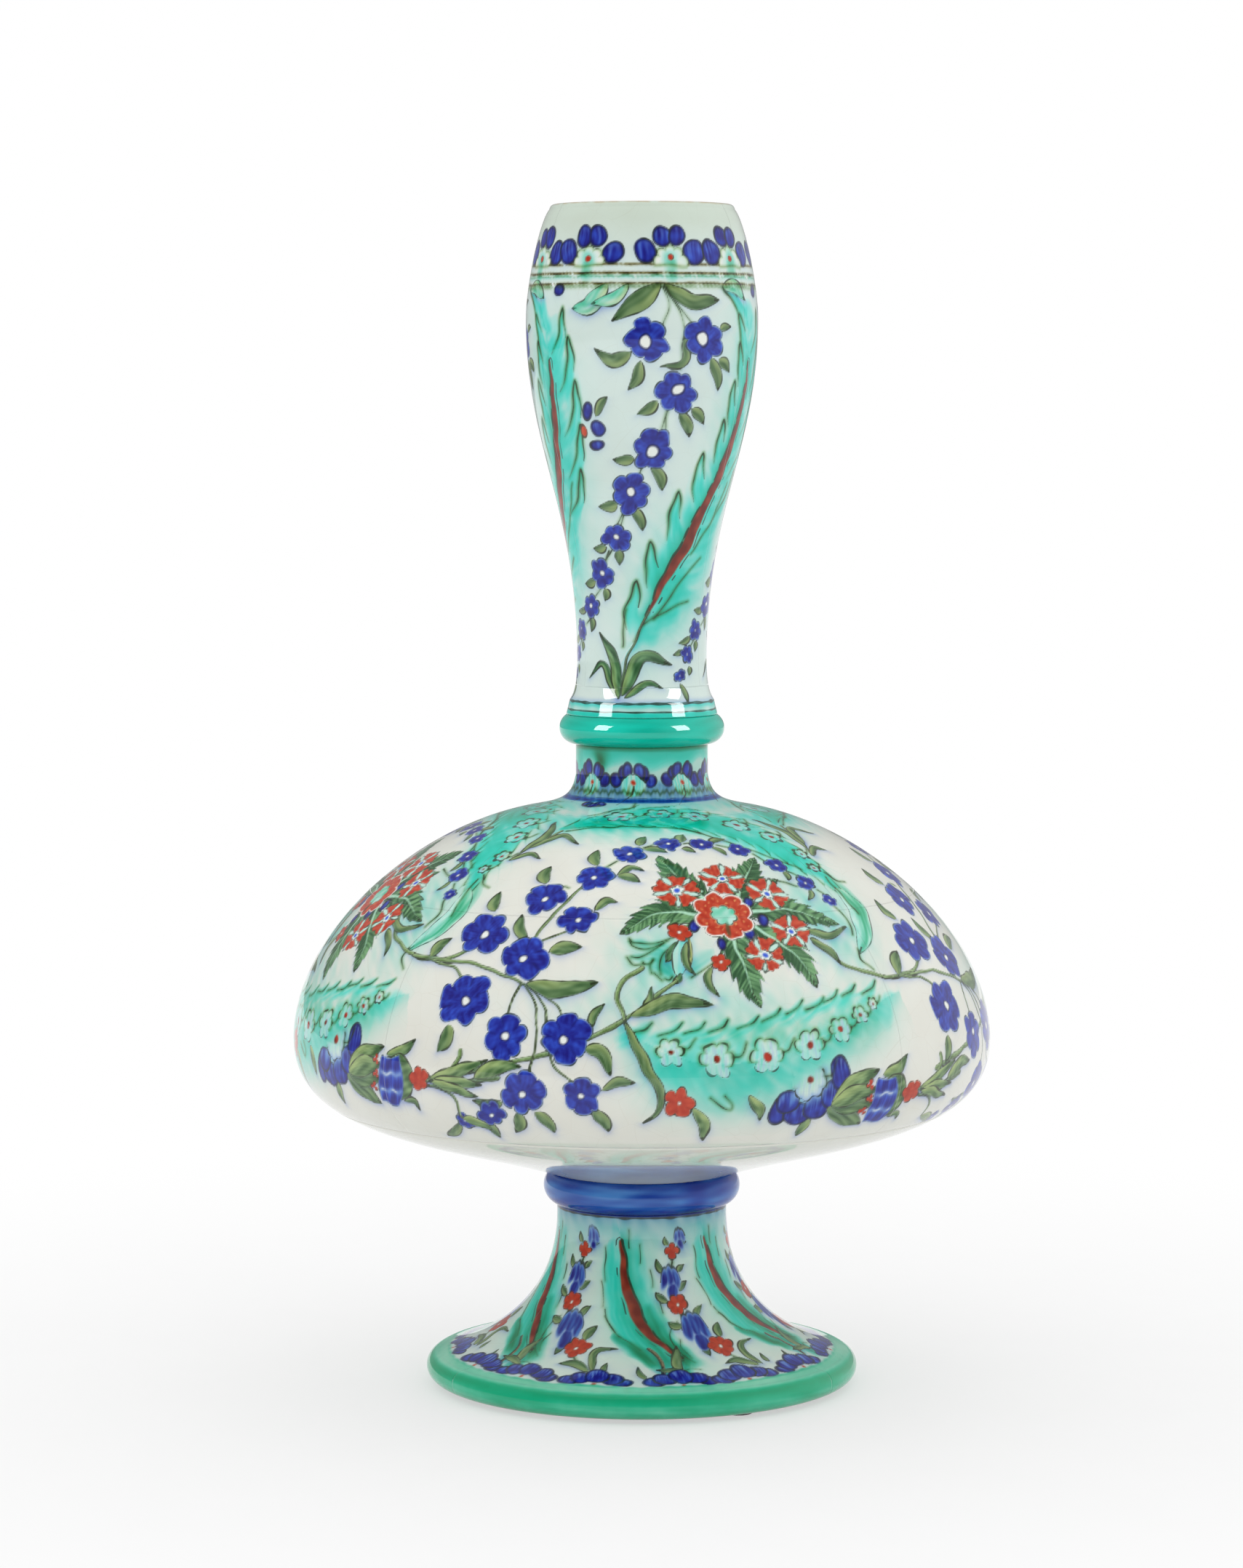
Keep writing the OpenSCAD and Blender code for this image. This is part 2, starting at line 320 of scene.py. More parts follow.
class Window:
    """The part of a canvas that one mark touches, with axes in millimetres from the mark's middle."""

    def __init__(self, canvas: Canvas, rows: slice, columns: slice, u: Array, v: Array) -> None:
        """Keeps the views into the canvas and the places across (u) and up (v)."""
        self.canvas = canvas
        self.colour = canvas.colour[rows, columns]
        self.ink = canvas.ink[rows, columns]
        self.hand = canvas.hand[rows, columns]
        self.u = u
        self.v = v

    def over(self, tone: Array, cover: Array) -> None:
        """Lays an opaque colour over the part that is covered."""
        self.colour += (tone - self.colour) * cover[..., None]

    def stain(self, tone: Tone, depth: Array) -> None:
        """Sinks a clear colour into the glaze: what is there times the tone to the power of its depth."""
        self.colour *= tone.rgb ** depth[..., None]

    def line(self, distance: Array, half: float = LINE) -> None:
        """Draws a brush line of uneven half width where the distance is least."""
        np.minimum(self.ink, np.abs(distance) - half * (1.0 + 0.3 * self.hand), out=self.ink)

    def clear(self, cover: Array) -> None:
        """Brings the bare ground back and takes the lines off it."""
        self.over(self.canvas.ground, cover)
        self.ink[cover > 0.5] = FAR

    def sag(self, distance: Array) -> Array:
        """How far each place lies below a mark's edge, where wet glaze carries colour down, and not above."""
        return np.clip(0.35 - 0.65 * np.gradient(distance, self.canvas.step, axis=0), 0.0, 1.0)

    def halo(self, distance: Array, depth: float = 0.4, reach: float = 1.3) -> None:
        """Lets blue bleed from a mark's edge into the ground, mostly downwards."""
        self.stain(Tone.HALO, depth * self.sag(distance) * fading(distance, reach))

    def fill(self, distance: Array, light: Tone, dark: Tone, shade: Array, soft: float = EDGE) -> None:
        """Lays two tones, mixed by the shade, inside an edge that is so soft."""
        self.over(mixed(light, dark, shade), spread(distance, soft))

    def brush(self, distance: Array, light: Tone, dark: Tone, grain: Array, rim: Tone | None = None) -> None:
        """Paints mottled pigment, laid wet in strokes.

        Args:
            distance: Millimetres from the mark's edge, negative inside.
            light: Colour where it lies thin.
            dark: Colour where it lies thick.
            grain: Unevenness of the strokes, from about -1 to 1.
            rim: A thinner tone that shows round its edge.
        """
        self.ink[distance < 0.0] = FAR
        shade = 0.36 + 0.36 * grain
        if rim:
            self.over(rim.rgb, 0.9 * spread(distance))
            self.fill(distance + 0.4, light, dark, shade, 0.9)
        else:
            self.fill(distance, light, dark, shade)

    def shape(self, distance: Array, light: Tone, dark: Tone, shade: Array, half: float = LINE) -> None:
        """Paints a filled mark: clears its place, lays its colour and draws its outline.

        Args:
            distance: Millimetres from its edge, negative inside.
            light: Colour where the shade is 1.
            dark: Colour where the shade is 0.
            shade: How light it is at each place.
            half: Half width of the outline, or 0 for none.
        """
        self.clear(spread(distance))
        self.fill(distance, light, dark, shade)
        if half:
            self.line(distance, half)


class Trace(Window):
    """A window along a route: how far along it each place lies, and how far aside, left being positive."""

    def __init__(self, canvas: Canvas, rows: slice, columns: slice, route: Array, marks: int) -> None:
        """Finds each place's nearest point on the route, one straight step of it at a time.

        Args:
            canvas: What is painted on.
            rows: Rows of the window.
            columns: Columns of the window.
            route: Turn and rise of the route's points.
            marks: How many points the route was given by.
        """
        r = np.radians(canvas.radius[rows])[:, None]
        turn, rise = canvas.turns[rows, columns], canvas.rises[rows, columns]
        super().__init__(canvas, rows, columns, turn * r, rise)
        wide = np.radians(np.interp(route[:, 1], canvas.rise, canvas.radius))
        steps = np.hypot(np.diff(route[:, 0]) * (wide[1:] + wide[:-1]) / 2, np.diff(route[:, 1]))
        gone = np.concatenate([[0.0], np.cumsum(steps)])
        self.length = gone[-1]
        self.marks = gone[np.linspace(0, len(route) - 1, marks).astype(int)] / self.length
        best = np.full(turn.shape, np.inf)
        self.along, self.aside = np.zeros(turn.shape), np.zeros(turn.shape)
        for k in range(len(steps)):
            px, py = (turn - route[k, 0]) * r, rise - route[k, 1]
            qx, qy = (route[k + 1, 0] - route[k, 0]) * r, route[k + 1, 1] - route[k, 1]
            q = np.clip((px * qx + py * qy) / (qx**2 + qy**2), 0.0, 1.0)
            apart = np.hypot(px - q * qx, py - q * qy)
            near = apart < best
            best = np.where(near, apart, best)
            self.along = np.where(near, (gone[k] + q * steps[k]) / self.length, self.along)
            self.aside = np.where(near, apart * np.sign(qx * py - qy * px), self.aside)
        self.apart = best

    def grade(self, values: list[float]) -> Array:
        """Values given at the route's points, carried evenly along it."""
        return np.interp(self.along, self.marks, values)


class Canvas:
    """A stretch of one coat as a grid of turn and rise, with the colour and the brush lines at its points.

    The ink is a distance in millimetres from the nearest line's edge, negative on the line, so that a line
    stays sharp between the grid's points. The hand is how heavily the brush goes at each place, and the drift
    is how far it strays.
    """

    hand_wave = 7.0
    drift_wave = 14.0
    drift = 0.35

    def __init__(self, profile: Profile, turns: Spot, rises: Spot, pitch: float, ground: Tone) -> None:
        """Lays out the grid and fills it with the ground colour.

        Args:
            profile: The outline that the coat lies on.
            turns: First and last turn in degrees.
            rises: First and last rise in millimetres.
            pitch: Widest spacing of the grid in millimetres.
            ground: Colour of the bare glaze.
        """
        self.profile = profile
        sample = profile.radius(np.linspace(*rises, 50))
        wide = np.radians(turns[1] - turns[0]) * sample.max()
        self.columns = STRIDE * math.ceil(wide / pitch / STRIDE)
        self.rows = STRIDE * math.ceil((rises[1] - rises[0]) / pitch / STRIDE)
        self.turn = np.linspace(*turns, self.columns + 1)
        self.rise = np.linspace(*rises, self.rows + 1)
        self.step = (rises[1] - rises[0]) / self.rows
        self.radius = profile.radius(self.rise)
        self.ground = ground.rgb
        self.colour = np.tile(self.ground, (self.rows + 1, self.columns + 1, 1))
        self.ink = np.full((self.rows + 1, self.columns + 1), FAR)
        across = np.radians(self.turn)[None, :] * self.radius[:, None]
        up = np.broadcast_to(self.rise[:, None], across.shape)
        self.hand = ripple(across, up, self.hand_wave, 11)
        aside, along = (self.drift * ripple(across, up, self.drift_wave, seed) for seed in (12, 13))
        self.turns = self.turn[None, :] + aside / np.radians(self.radius)[:, None]
        self.rises = up + along
        self.shift = 0.0
        self.lift = 0.0

    def cuts(self, turns: Spot, rises: Spot, reach: float) -> Iterator[tuple[slice, slice, float]]:
        """Finds where a mark's box meets the grid, at each full turn that could reach it.

        Args:
            turns: Least and greatest turn of the mark.
            rises: Least and greatest rise.
            reach: How far the mark runs past them, in millimetres.

        Yields:
            Rows, columns and the turn to add to the mark's own.
        """
        low, high = rises[0] + self.lift - reach, rises[1] + self.lift + reach
        first = max(int(np.searchsorted(self.rise, low)), 0)
        last = int(np.searchsorted(self.rise, high))
        if last - first < 2:
            return
        pad = math.degrees(reach / self.radius[first:last].min())
        for full in (-360.0, 0.0, 360.0):
            move = self.shift + full
            left = int(np.searchsorted(self.turn, turns[0] + move - pad))
            right = int(np.searchsorted(self.turn, turns[1] + move + pad))
            if right - left > 1:
                yield slice(first, last), slice(left, right), move

    def windows(self, turn: float, rise: float, reach: float) -> Iterator[Window]:
        """Windows about one spot, with their places in millimetres from it."""
        for rows, columns, move in self.cuts((turn, turn), (rise, rise), reach):
            r = np.radians(self.radius[rows])[:, None]
            u = (self.turns[rows, columns] - turn - move) * r
            yield Window(self, rows, columns, u, self.rises[rows, columns] - rise - self.lift)

    def copies(self, nudges: tuple[Spot, ...]) -> Iterator[None]:
        """Moves what is painted next to each of the evenly spaced copies in turn, and home again at the end.

        Args:
            nudges: How far each copy stands out of its even place, in turn and rise.

        Yields:
            Nothing, once for each copy.
        """
        for copy, (turn, rise) in enumerate(nudges):
            self.shift = copy * 360.0 / len(nudges) + turn
            self.lift = rise
            yield
        self.shift, self.lift = 0.0, 0.0

    def traces(self, points: Route, reach: float, bow: float | None = None) -> Iterator[Trace]:
        """Windows along a smooth line through the points, where two of them may be joined by a bow.

        Args:
            points: Turn and rise of the points.
            reach: How far the mark runs past the line, in millimetres.
            bow: Share of its length that a line of two points is bowed by.

        Yields:
            The windows.
        """
        if bow is not None and len(points) == 2:
            points = self.bowed(*points, bow)
        route = spline(points)
        low, high = route.min(axis=0), route.max(axis=0)
        for rows, columns, move in self.cuts((low[0], high[0]), (low[1], high[1]), reach):
            yield Trace(self, rows, columns, route + (move, self.lift), len(points))

    def belt(self, low: float, high: float) -> Window:
        """The whole turn between two rises, with v as the rise itself."""
        rows = slice(int(np.searchsorted(self.rise, low)), int(np.searchsorted(self.rise, high)))
        u = np.radians(self.turn)[None, :] * self.radius[rows][:, None]
        even = self.rise[rows][:, None]
        return Window(self, rows, slice(None), u, even + 0.3 * (self.rises[rows] - even))

    def bowed(self, base: Spot, tip: Spot, bow: float) -> Route:
        """A three-point route whose middle stands aside by a share of its length, left being positive."""
        wide = math.radians(float(np.interp((base[1] + tip[1]) / 2 + self.lift, self.rise, self.radius)))
        across, up = (tip[0] - base[0]) * wide, tip[1] - base[1]
        middle = ((base[0] + tip[0]) / 2 - bow * up / wide, (base[1] + tip[1]) / 2 + bow * across)
        return [base, middle, tip]


@dataclass(frozen=True)
class Blossom:
    """A blue flower of round petals with a white heart in a dark ring."""

    turn: float
    rise: float
    width: float
    petals: int = 6
    heart: float = 0.16
    light: Tone = Tone.COBALT_LIGHT
    dark: Tone = Tone.COBALT

    def paint(self, canvas: Canvas) -> None:
        """Lays the petals, the creases between them, a thin outline and the heart."""
        seed = int(abs(self.turn * 31 + self.rise * 17))
        radius = self.width / 2
        spin = seed % 7 * 0.31
        for w in canvas.windows(self.turn, self.rise, radius + 5.0):
            edge, rho, lobe, number = petalled(w.u, w.v, radius, self.petals, spin, 0.42)
            odd = np.sin(2.4 * (number % self.petals) + seed)
            edge = edge + 0.06 * radius * (odd + ripple(w.u, w.v, 1.2 * radius, seed))
            stroke = ripple(1.6 * lobe * rho + 9.0 * number, 0.3 * rho, 3.0, seed + 1)
            blot = ripple(w.u, w.v, 5.0, seed) + 0.5 * ripple(w.u, w.v, 2.4, seed + 2)
            grain = 0.4 * stroke + 0.45 * blot + 0.3 * odd + 0.9 * (rho / radius - 0.6)
            w.halo(edge, 0.3, 0.9)
            w.brush(edge, self.light, self.dark, grain, Tone.SKY if self.dark is Tone.COBALT else None)
            gap = rho * np.sin(math.pi / self.petals - lobe)
            crease = hump(gap, 0.5) * spread(0.45 * radius - rho, 2.0) * spread(edge + 0.3)
            w.over(self.dark.rgb * 0.8, 0.6 * crease)
            w.line(edge, 0.8 * HAIR)
            if self.heart:
                size = self.heart * radius
                off = (0.35 * size * math.cos(seed), 0.35 * size * math.sin(seed))
                core = oval(w.u, w.v, off, (1.06 * size, 0.98 * size), seed % 180)
                core = core + 0.08 * size * ripple(w.u, w.v, 2.0 * size, seed + 3)
                w.over(self.light.rgb, 0.6 * fading(core, 0.7 * size))
                w.ink[core < 0.3] = FAR
                w.over(self.dark.rgb * 0.5, 0.85 * spread(core - 0.2 * size, 0.6))
                w.over(Tone.PALE.rgb, spread(core + 0.1 * size))


@dataclass(frozen=True)
class RedFlower(Blossom):
    """A blossom in the two reds of the enamel."""

    light: Tone = Tone.RED_LIGHT
    dark: Tone = Tone.RED


@dataclass(frozen=True)
class Leaf:
    """A brushed leaf along a route from its base to its tip, watery inside and dark at the tip."""

    route: Route
    width: float
    bow: float = 0.12
    light: Tone = Tone.LEAF_LIGHT
    dark: Tone = Tone.LEAF
    warm: float = 0.42
    bleed: float = 0.7
    half: float = HAIR

    def paint(self, canvas: Canvas) -> None:
        """Fills a half width of a sine power of the way along, yellow at one side of its base."""
        seed = int(abs(self.route[0][0] * 13 + self.route[0][1] * 7))
        for t in canvas.traces(self.route, self.width / 2 + 6.0, self.bow):
            edge = t.apart - self.width / 2 * np.sin(math.pi * t.along**0.8) ** 0.75
            side = np.tanh(t.aside / (0.16 * self.width))
            streak = ripple(t.along * t.length * 0.4, t.aside * 1.6, 3.0, seed)
            t.halo(edge, self.bleed, 1.3)
            t.clear(spread(edge))
            t.fill(edge, self.light, self.dark, 0.62 + 0.22 * side + 0.24 * streak - 0.6 * t.along**3)
            base = np.clip(0.6 + 0.5 * side - 1.1 * t.along, 0.0, 1.0)
            t.over(Tone.YELLOW.rgb, self.warm * base * spread(edge))
            t.line(np.where(t.aside > 0, edge, FAR), self.half)
            t.line(np.where(t.aside > 0, FAR, edge), 0.7 * self.half)
            t.line(np.where(t.along > 0.88, t.apart, FAR), 1.2 * self.half)


@dataclass(frozen=True)
class ToothedLeaf:
    """A dark leaf with ragged teeth towards its tip and a pale rib from its base."""

    route: Route
    width: float
    teeth: int = 5
    light: Tone = Tone.DEEP_LIGHT
    dark: Tone = Tone.DEEP
    rib: float = 0.9
    bow: float = 0.04

    def paint(self, canvas: Canvas) -> None:
        """Cuts the half width back between teeth that lean forward, and streaks it along the teeth."""
        seed = int(abs(self.route[0][0] * 13 + self.route[0][1] * 7))
        for t in canvas.traces(self.route, self.width / 2 + 6.0, self.bow):
            step = t.along * self.teeth - 0.9 * t.apart / t.length * self.teeth + 0.4 * (t.aside > 0)
            ragged = 0.66 + 0.34 * (step % 1.0) ** 1.5
            edge = t.apart - self.width / 2 * np.sin(math.pi * t.along**0.75) ** 0.7 * ragged
            streak = ripple(step * 1.2 * t.length / self.teeth, t.apart * 0.3, 2.6, seed)
            t.halo(edge, 0.35, 1.2)
            t.clear(spread(edge))
            t.fill(edge, self.light, self.dark, 0.42 + 0.42 * streak + 0.2 * np.sign(t.aside))
            rib = t.apart - self.rib * (1.0 - 1.25 * t.along)
            t.over(Tone.PALE.rgb * (0.82, 1.0, 0.92), 0.85 * spread(rib))
            t.line(np.where(rib > 0.2, rib - 0.5, FAR), 0.5 * HAIR)
            t.line(edge, 0.8 * HAIR)


@dataclass(frozen=True)
class Stem:
    """A stalk that tapers along its route, lit on one side, with a line down the other."""

    route: Route
    start: float = 1.0
    end: float = 0.8
    light: Tone = Tone.OLIVE_LIGHT
    dark: Tone = Tone.OLIVE

    def paint(self, canvas: Canvas) -> None:
        """Fills the half width that runs evenly from the start to the end."""
        for t in canvas.traces(self.route, self.start + self.end + 5.0):
            edge = t.apart - 0.75 * (self.start + (self.end - self.start) * t.along)
            t.halo(edge, 0.45, 1.0)
            t.clear(spread(edge))
            t.fill(edge, self.light, self.dark, 0.5 + 0.3 * np.sign(t.aside) + 0.25 * t.hand)
            t.line(np.where(t.aside < 0, edge, FAR), 0.75 * HAIR)
            t.line(np.where(t.aside < 0, FAR, edge), 0.5 * HAIR)


@dataclass(frozen=True)
class Thread:
    """A bare brush line along a route, thinning to its end."""

    route: Route
    half: float = HAIR
    bleed: float = 0.6

    def paint(self, canvas: Canvas) -> None:
        """Draws the line over a faint green stain."""
        for t in canvas.traces(self.route, 4.0):
            t.stain(Tone.LEAF_LIGHT, self.bleed * hump(t.apart, 0.8))
            t.line(t.apart + 0.4 * self.half * t.along, self.half)


@dataclass(frozen=True)
class Floret:
    """A pale flower left bare in a wash, with a line round it, a red eye and a hooked leaf at its side."""

    turn: float
    rise: float
    width: float
    petals: int = 6
    bare: float = 0.45
    drawn_to: float = 2.0
    half: float = HAIR

    def paint(self, canvas: Canvas) -> None:
        """Thins the wash inside the petals in streaks that run down, then draws the outline, eye and hook."""
        seed = int(abs(self.turn * 19 + self.rise * 23))
        radius = self.width / 2
        spin = math.pi / 2 + math.pi / self.petals
        for w in canvas.windows(self.turn, self.rise, radius + 5.0):
            edge, rho, lobe, _ = petalled(w.u, w.v, radius, self.petals, spin, 0.36)
            edge = edge + 0.05 * radius * w.hand
            run = ripple(w.u * 1.5, w.v * 0.2, 3.0, seed)
            shown = spread(w.v - self.drawn_to * radius - 0.6 * w.u, 0.5 * radius)
            w.ink[edge < 0.0] = FAR
            w.stain(Tone.AQUA, 0.5 * w.sag(edge) * fading(edge, 2.6) * (edge > 0))
            if self.drawn_to < 1.0:
                w.over(Tone.SKY.rgb, 0.8 * shown * hump(edge, 1.8))
            w.over(Tone.PALE.rgb, spread(edge, 1.4) * np.clip(self.bare + 0.25 * run, 0.0, 0.95) * shown)
            w.stain(Tone.SKY, 0.3 * spread(edge) * np.clip(run, 0.0, 1.0) * shown)
            w.stain(Tone.OLIVE_LIGHT, 0.6 * hump(edge, 0.9) * (w.v > -0.4 * radius) * shown)
            w.line(np.where(shown > 0.5, edge, FAR), self.half * (0.95 + 0.35 * np.cos(self.petals * lobe)))
            w.brush(rho - 0.2 * radius * (1.0 + 0.2 * w.hand), Tone.RED, Tone.BROWN, w.hand)
        wide = math.radians(float(np.interp(self.rise, canvas.rise, canvas.radius)))
        hook = ((0.95, 0.1), (1.4, 0.2), (1.75, 0.85))
        route = [(self.turn + x * radius / wide, self.rise + y * radius) for x, y in hook]
        Thread(route, 0.7 * HAIR).paint(canvas)


@dataclass(frozen=True)
class Blade:
    """A long feathered leaf: a soft wash on both sides of a spine, with teeth that point towards its tip."""

    route: Route
    left: list[float]
    right: list[float]
    teeth: int
    depth: float = 0.3
    strength: float = 0.9
    wash: Tone = Tone.TURQUOISE
    drawn: bool = True
    lean: float = 0.7
    core: float = 0.5

    def paint(self, canvas: Canvas) -> None:
        """Washes each side to its own half width, deepest at the spine and streaked along the teeth.

        A tooth's edge rises as a power of the way to its tip and drops back at once, so its flank is hollow.
        """
        seed = int(abs(self.route[0][0] * 5 + self.route[0][1] * 3)) + self.teeth
        for t in canvas.traces(self.route, max(self.left + self.right) + 12.0):
            upper = t.aside > 0
            wide = np.where(upper, t.grade(self.left), t.grade(self.right))
            pace = t.length / self.teeth
            reach = t.apart * (0.4 + 0.6 * t.apart / (wide + 1.0))
            step = t.along * self.teeth - self.lean * reach / pace + 0.37 * upper
            frac = step % 1.0
            edge = t.apart - wide * (1.0 - self.depth * (1.0 - self.drawn * frac**1.6))
            streak = ripple(step * pace, t.apart * 0.2, 5.0, seed)
            blot = ripple(t.along * t.length * 0.6, t.aside * 0.8, 18.0, seed + 1)
            run = ripple(0.9 * t.u, 0.12 * t.v, 6.0, seed + 2)
            middle = np.exp(-t.apart / (0.3 * wide + 0.6))
            inner = np.clip(-edge / 6.0, 0.0, 1.0)
            depth = 0.16 + 0.26 * inner + self.core * middle + 0.14 * streak * inner + 0.2 * blot + 0.1 * run
            fade = spread(edge + 2.4 * run + 0.12 * wide, 0.35 * wide + 3.0)
            soft = spread(edge - 0.3, 1.6) if self.drawn else fade
            t.stain(self.wash, self.strength * np.clip(depth, 0.05, 1.5) * soft)
            t.stain(Tone.AQUA, 0.3 * t.sag(edge) * fading(edge, 5.0) * (wide > 0.5))
            shown = (wide > 1.5) & (t.apart > 0.4) & self.drawn
            t.stain(Tone.OLIVE_LIGHT, 0.6 * frac * hump(edge, 1.0) * shown)
            t.line(np.where(shown & (frac > 0.22), edge, FAR), HAIR * (0.3 + 0.75 * frac))
            notch = np.minimum(frac, 1.0 - frac) * pace
            inner = shown & (edge < 0.3) & (t.apart > wide * (1.0 - 0.75 * self.depth))
            t.line(np.where(inner, notch, FAR), 0.75 * HAIR)


@dataclass(frozen=True)
class Flame:
    """A tooth or a brush stroke of a feathered leaf: clear colour that narrows towards its tip."""

    route: Route
    width: float
    depth: float = 0.35
    tone: Tone = Tone.TURQUOISE
    half: float = HAIR
    soft: float = 1.4

    def paint(self, canvas: Canvas) -> None:
        """Stains a half width that shrinks along the route, with green lines that meet at the tip."""
        seed = int(abs(self.route[0][0] * 7 + self.route[0][1] * 3))
        for t in canvas.traces(self.route, self.width / 2 + 5.0):
            edge = t.apart - self.width / 2 * np.clip(1.0 - t.along, 0.0, 1.0) ** 0.6
            streak = ripple(0.15 * t.along * t.length, t.aside, 2.6, seed)
            inside = spread(edge + 0.4 * streak, self.soft) * np.clip(3.0 * t.along, 0.0, 1.0)
            t.stain(self.tone, self.depth * inside * (1.0 + 0.35 * streak))
            if self.half:
                start = np.where(t.aside > 0, 0.12, 0.5)
                shown = np.clip(2.5 * (t.along - start), 0.0, 1.0)
                t.stain(Tone.LEAF_LIGHT, 3.0 * self.half * shown * hump(edge, 0.9))
                t.line(np.where(shown > 0.05, edge, FAR), self.half * (0.25 + 0.75 * t.along))


@dataclass(frozen=True)
class Midrib:
    """A red-brown spindle along a leaf's spine with dark lines at its sides."""

    route: Route
    half: list[float]

    def paint(self, canvas: Canvas) -> None:
        """Fills the half width given at the route's points, darker on the left, in a pool of deep green."""
        for t in canvas.traces(self.route, max(self.half) + 9.0):
            half = t.grade(self.half)
            edge = t.apart - half
            t.stain(Tone.SEA, 0.5 * fading(edge, 1.8) * (t.aside > 0))
            grain = ripple(0.4 * t.along * t.length, t.aside, 3.0, 81) - 1.2 * t.aside / (half + 0.5)
            t.brush(edge, Tone.BROWN_LIGHT, Tone.BROWN, grain)
            t.line(np.where((t.aside > 0) & (t.hand > -0.8), edge - 0.3, FAR), LINE)
            t.line(np.where((t.aside < 0) & (t.hand > -0.4), edge - 1.2, FAR), 0.8 * HAIR)


@dataclass(frozen=True)
class Wash:
    """A soft stain of a clear colour about one spot."""

    turn: float
    rise: float
    half: Spot
    depth: float
    tone: Tone = Tone.AQUA

    def paint(self, canvas: Canvas) -> None:
        """Stains with a bell of the scaled distance, uneven as a wet brush leaves it."""
        for w in canvas.windows(self.turn, self.rise, 2.2 * max(self.half)):
            bell = np.exp(-((w.u / self.half[0]) ** 2 + (w.v / self.half[1]) ** 2))
            w.stain(self.tone, self.depth * bell * (1.0 + 0.3 * w.hand))


@dataclass(frozen=True)
class HeartFlower:
    """A flower of five red wedges, notched outside, with pale sepals between them and a blue eye."""

    turn: float
    rise: float
    width: float

    def paint(self, canvas: Canvas) -> None:
        """Bounds each wedge by two rays and two radii, and lays a thin oval on the rays between."""
        seed = int(abs(self.turn * 11 + self.rise * 5))
        size = self.width / 2
        sector = math.tau / 5
        for w in canvas.windows(self.turn, self.rise, size + 5.0):
            rho = np.hypot(w.u, w.v)
            angle = np.arctan2(w.v, w.u) + 0.25 * (seed % 5)
            lobe = np.abs((angle + sector / 2) % sector - sector / 2)
            reach = size * (1.0 + 0.06 * np.sin(2.0 * np.floor((angle + sector / 2) / sector) + seed))
            outer = rho - reach * (0.86 + 0.14 * np.minimum(lobe / 0.17, 1.0))
            wedge = np.maximum.reduce([outer, 0.33 * size - rho, -rho * np.sin(0.44 - lobe)])
            wedge = wedge + 0.25 * ripple(w.u, w.v, 3.0, seed)
            w.clear(spread(rho - size * 0.6))
            between = sector / 2 - lobe
            out, aside = rho * np.cos(between), rho * np.sin(between)
            sepal = oval(out, aside, (0.62 * size, 0.0), (0.44 * size, 0.13 * size))
            w.clear(spread(sepal))
            w.over(Tone.MINT.rgb, 0.95 * spread(sepal))
            w.line(sepal, 0.5 * HAIR)
            w.brush(wedge, Tone.RED_LIGHT, Tone.RED, ripple(w.u, w.v, 3.0, seed + 1))
            w.line(wedge - 0.15, 0.55 * HAIR)
            star = rho - size * (0.22 + 0.12 * np.cos(5 * lobe))
            w.over(Tone.PALE.rgb, spread(star))
            w.line(star, 0.5 * HAIR)
            w.ink[rho < 0.2 * size] = FAR
            w.over(Tone.COBALT_LIGHT.rgb, spread(rho - 0.13 * size))


@dataclass(frozen=True)
class PetalBunch:
    """Blue petals of a border, each an oval given by place, half width and half height in millimetres."""

    turn: float
    rise: float
    petals: tuple[tuple[float, float, float, float], ...]
    fade: float = 0.3

    def paint(self, canvas: Canvas) -> None:
        """Paints the ovals in order, each streaked upright and thinner towards its top."""
        seed = int(abs(self.turn * 3 + self.rise))
        reach = max(max(abs(p[0]) + p[2], abs(p[1]) + p[3]) for p in self.petals) + 4.0
        for w in canvas.windows(self.turn, self.rise, reach):
            for k, (across, up, wide, high) in enumerate(self.petals):
                edge = oval(w.u, w.v, (across, up), (wide, high))
                streak = ripple(2.2 * w.u, 0.2 * w.v, 3.6, seed + k)
                blot = ripple(w.u, w.v, 6.0, seed + k + 9)
                w.halo(edge, 0.3, 1.0)
                w.brush(edge, Tone.COBALT_LIGHT, Tone.COBALT, 0.4 * streak + 0.5 * blot)
                thin = np.clip((w.v - up) / high + 0.5 * streak, 0.0, 1.0)
                w.over(Tone.SKY.rgb, self.fade * thin * spread(edge + 0.3))
                w.over(0.45 * Tone.COBALT.rgb, 0.65 * hump(edge + 0.3, 0.45))
                w.line(edge - 0.1, 0.7 * HAIR)


def strew(canvas: Canvas, mark: type, rows: Iterable[tuple], **finish: object) -> None:
    """Paints one kind of mark again and again.

    Args:
        canvas: What is painted on.
        mark: Class of the marks.
        rows: The first fields of each mark, in the order of its class.
        finish: Further fields that all of them share.
    """
    for row in rows:
        mark(*row, **finish).paint(canvas)


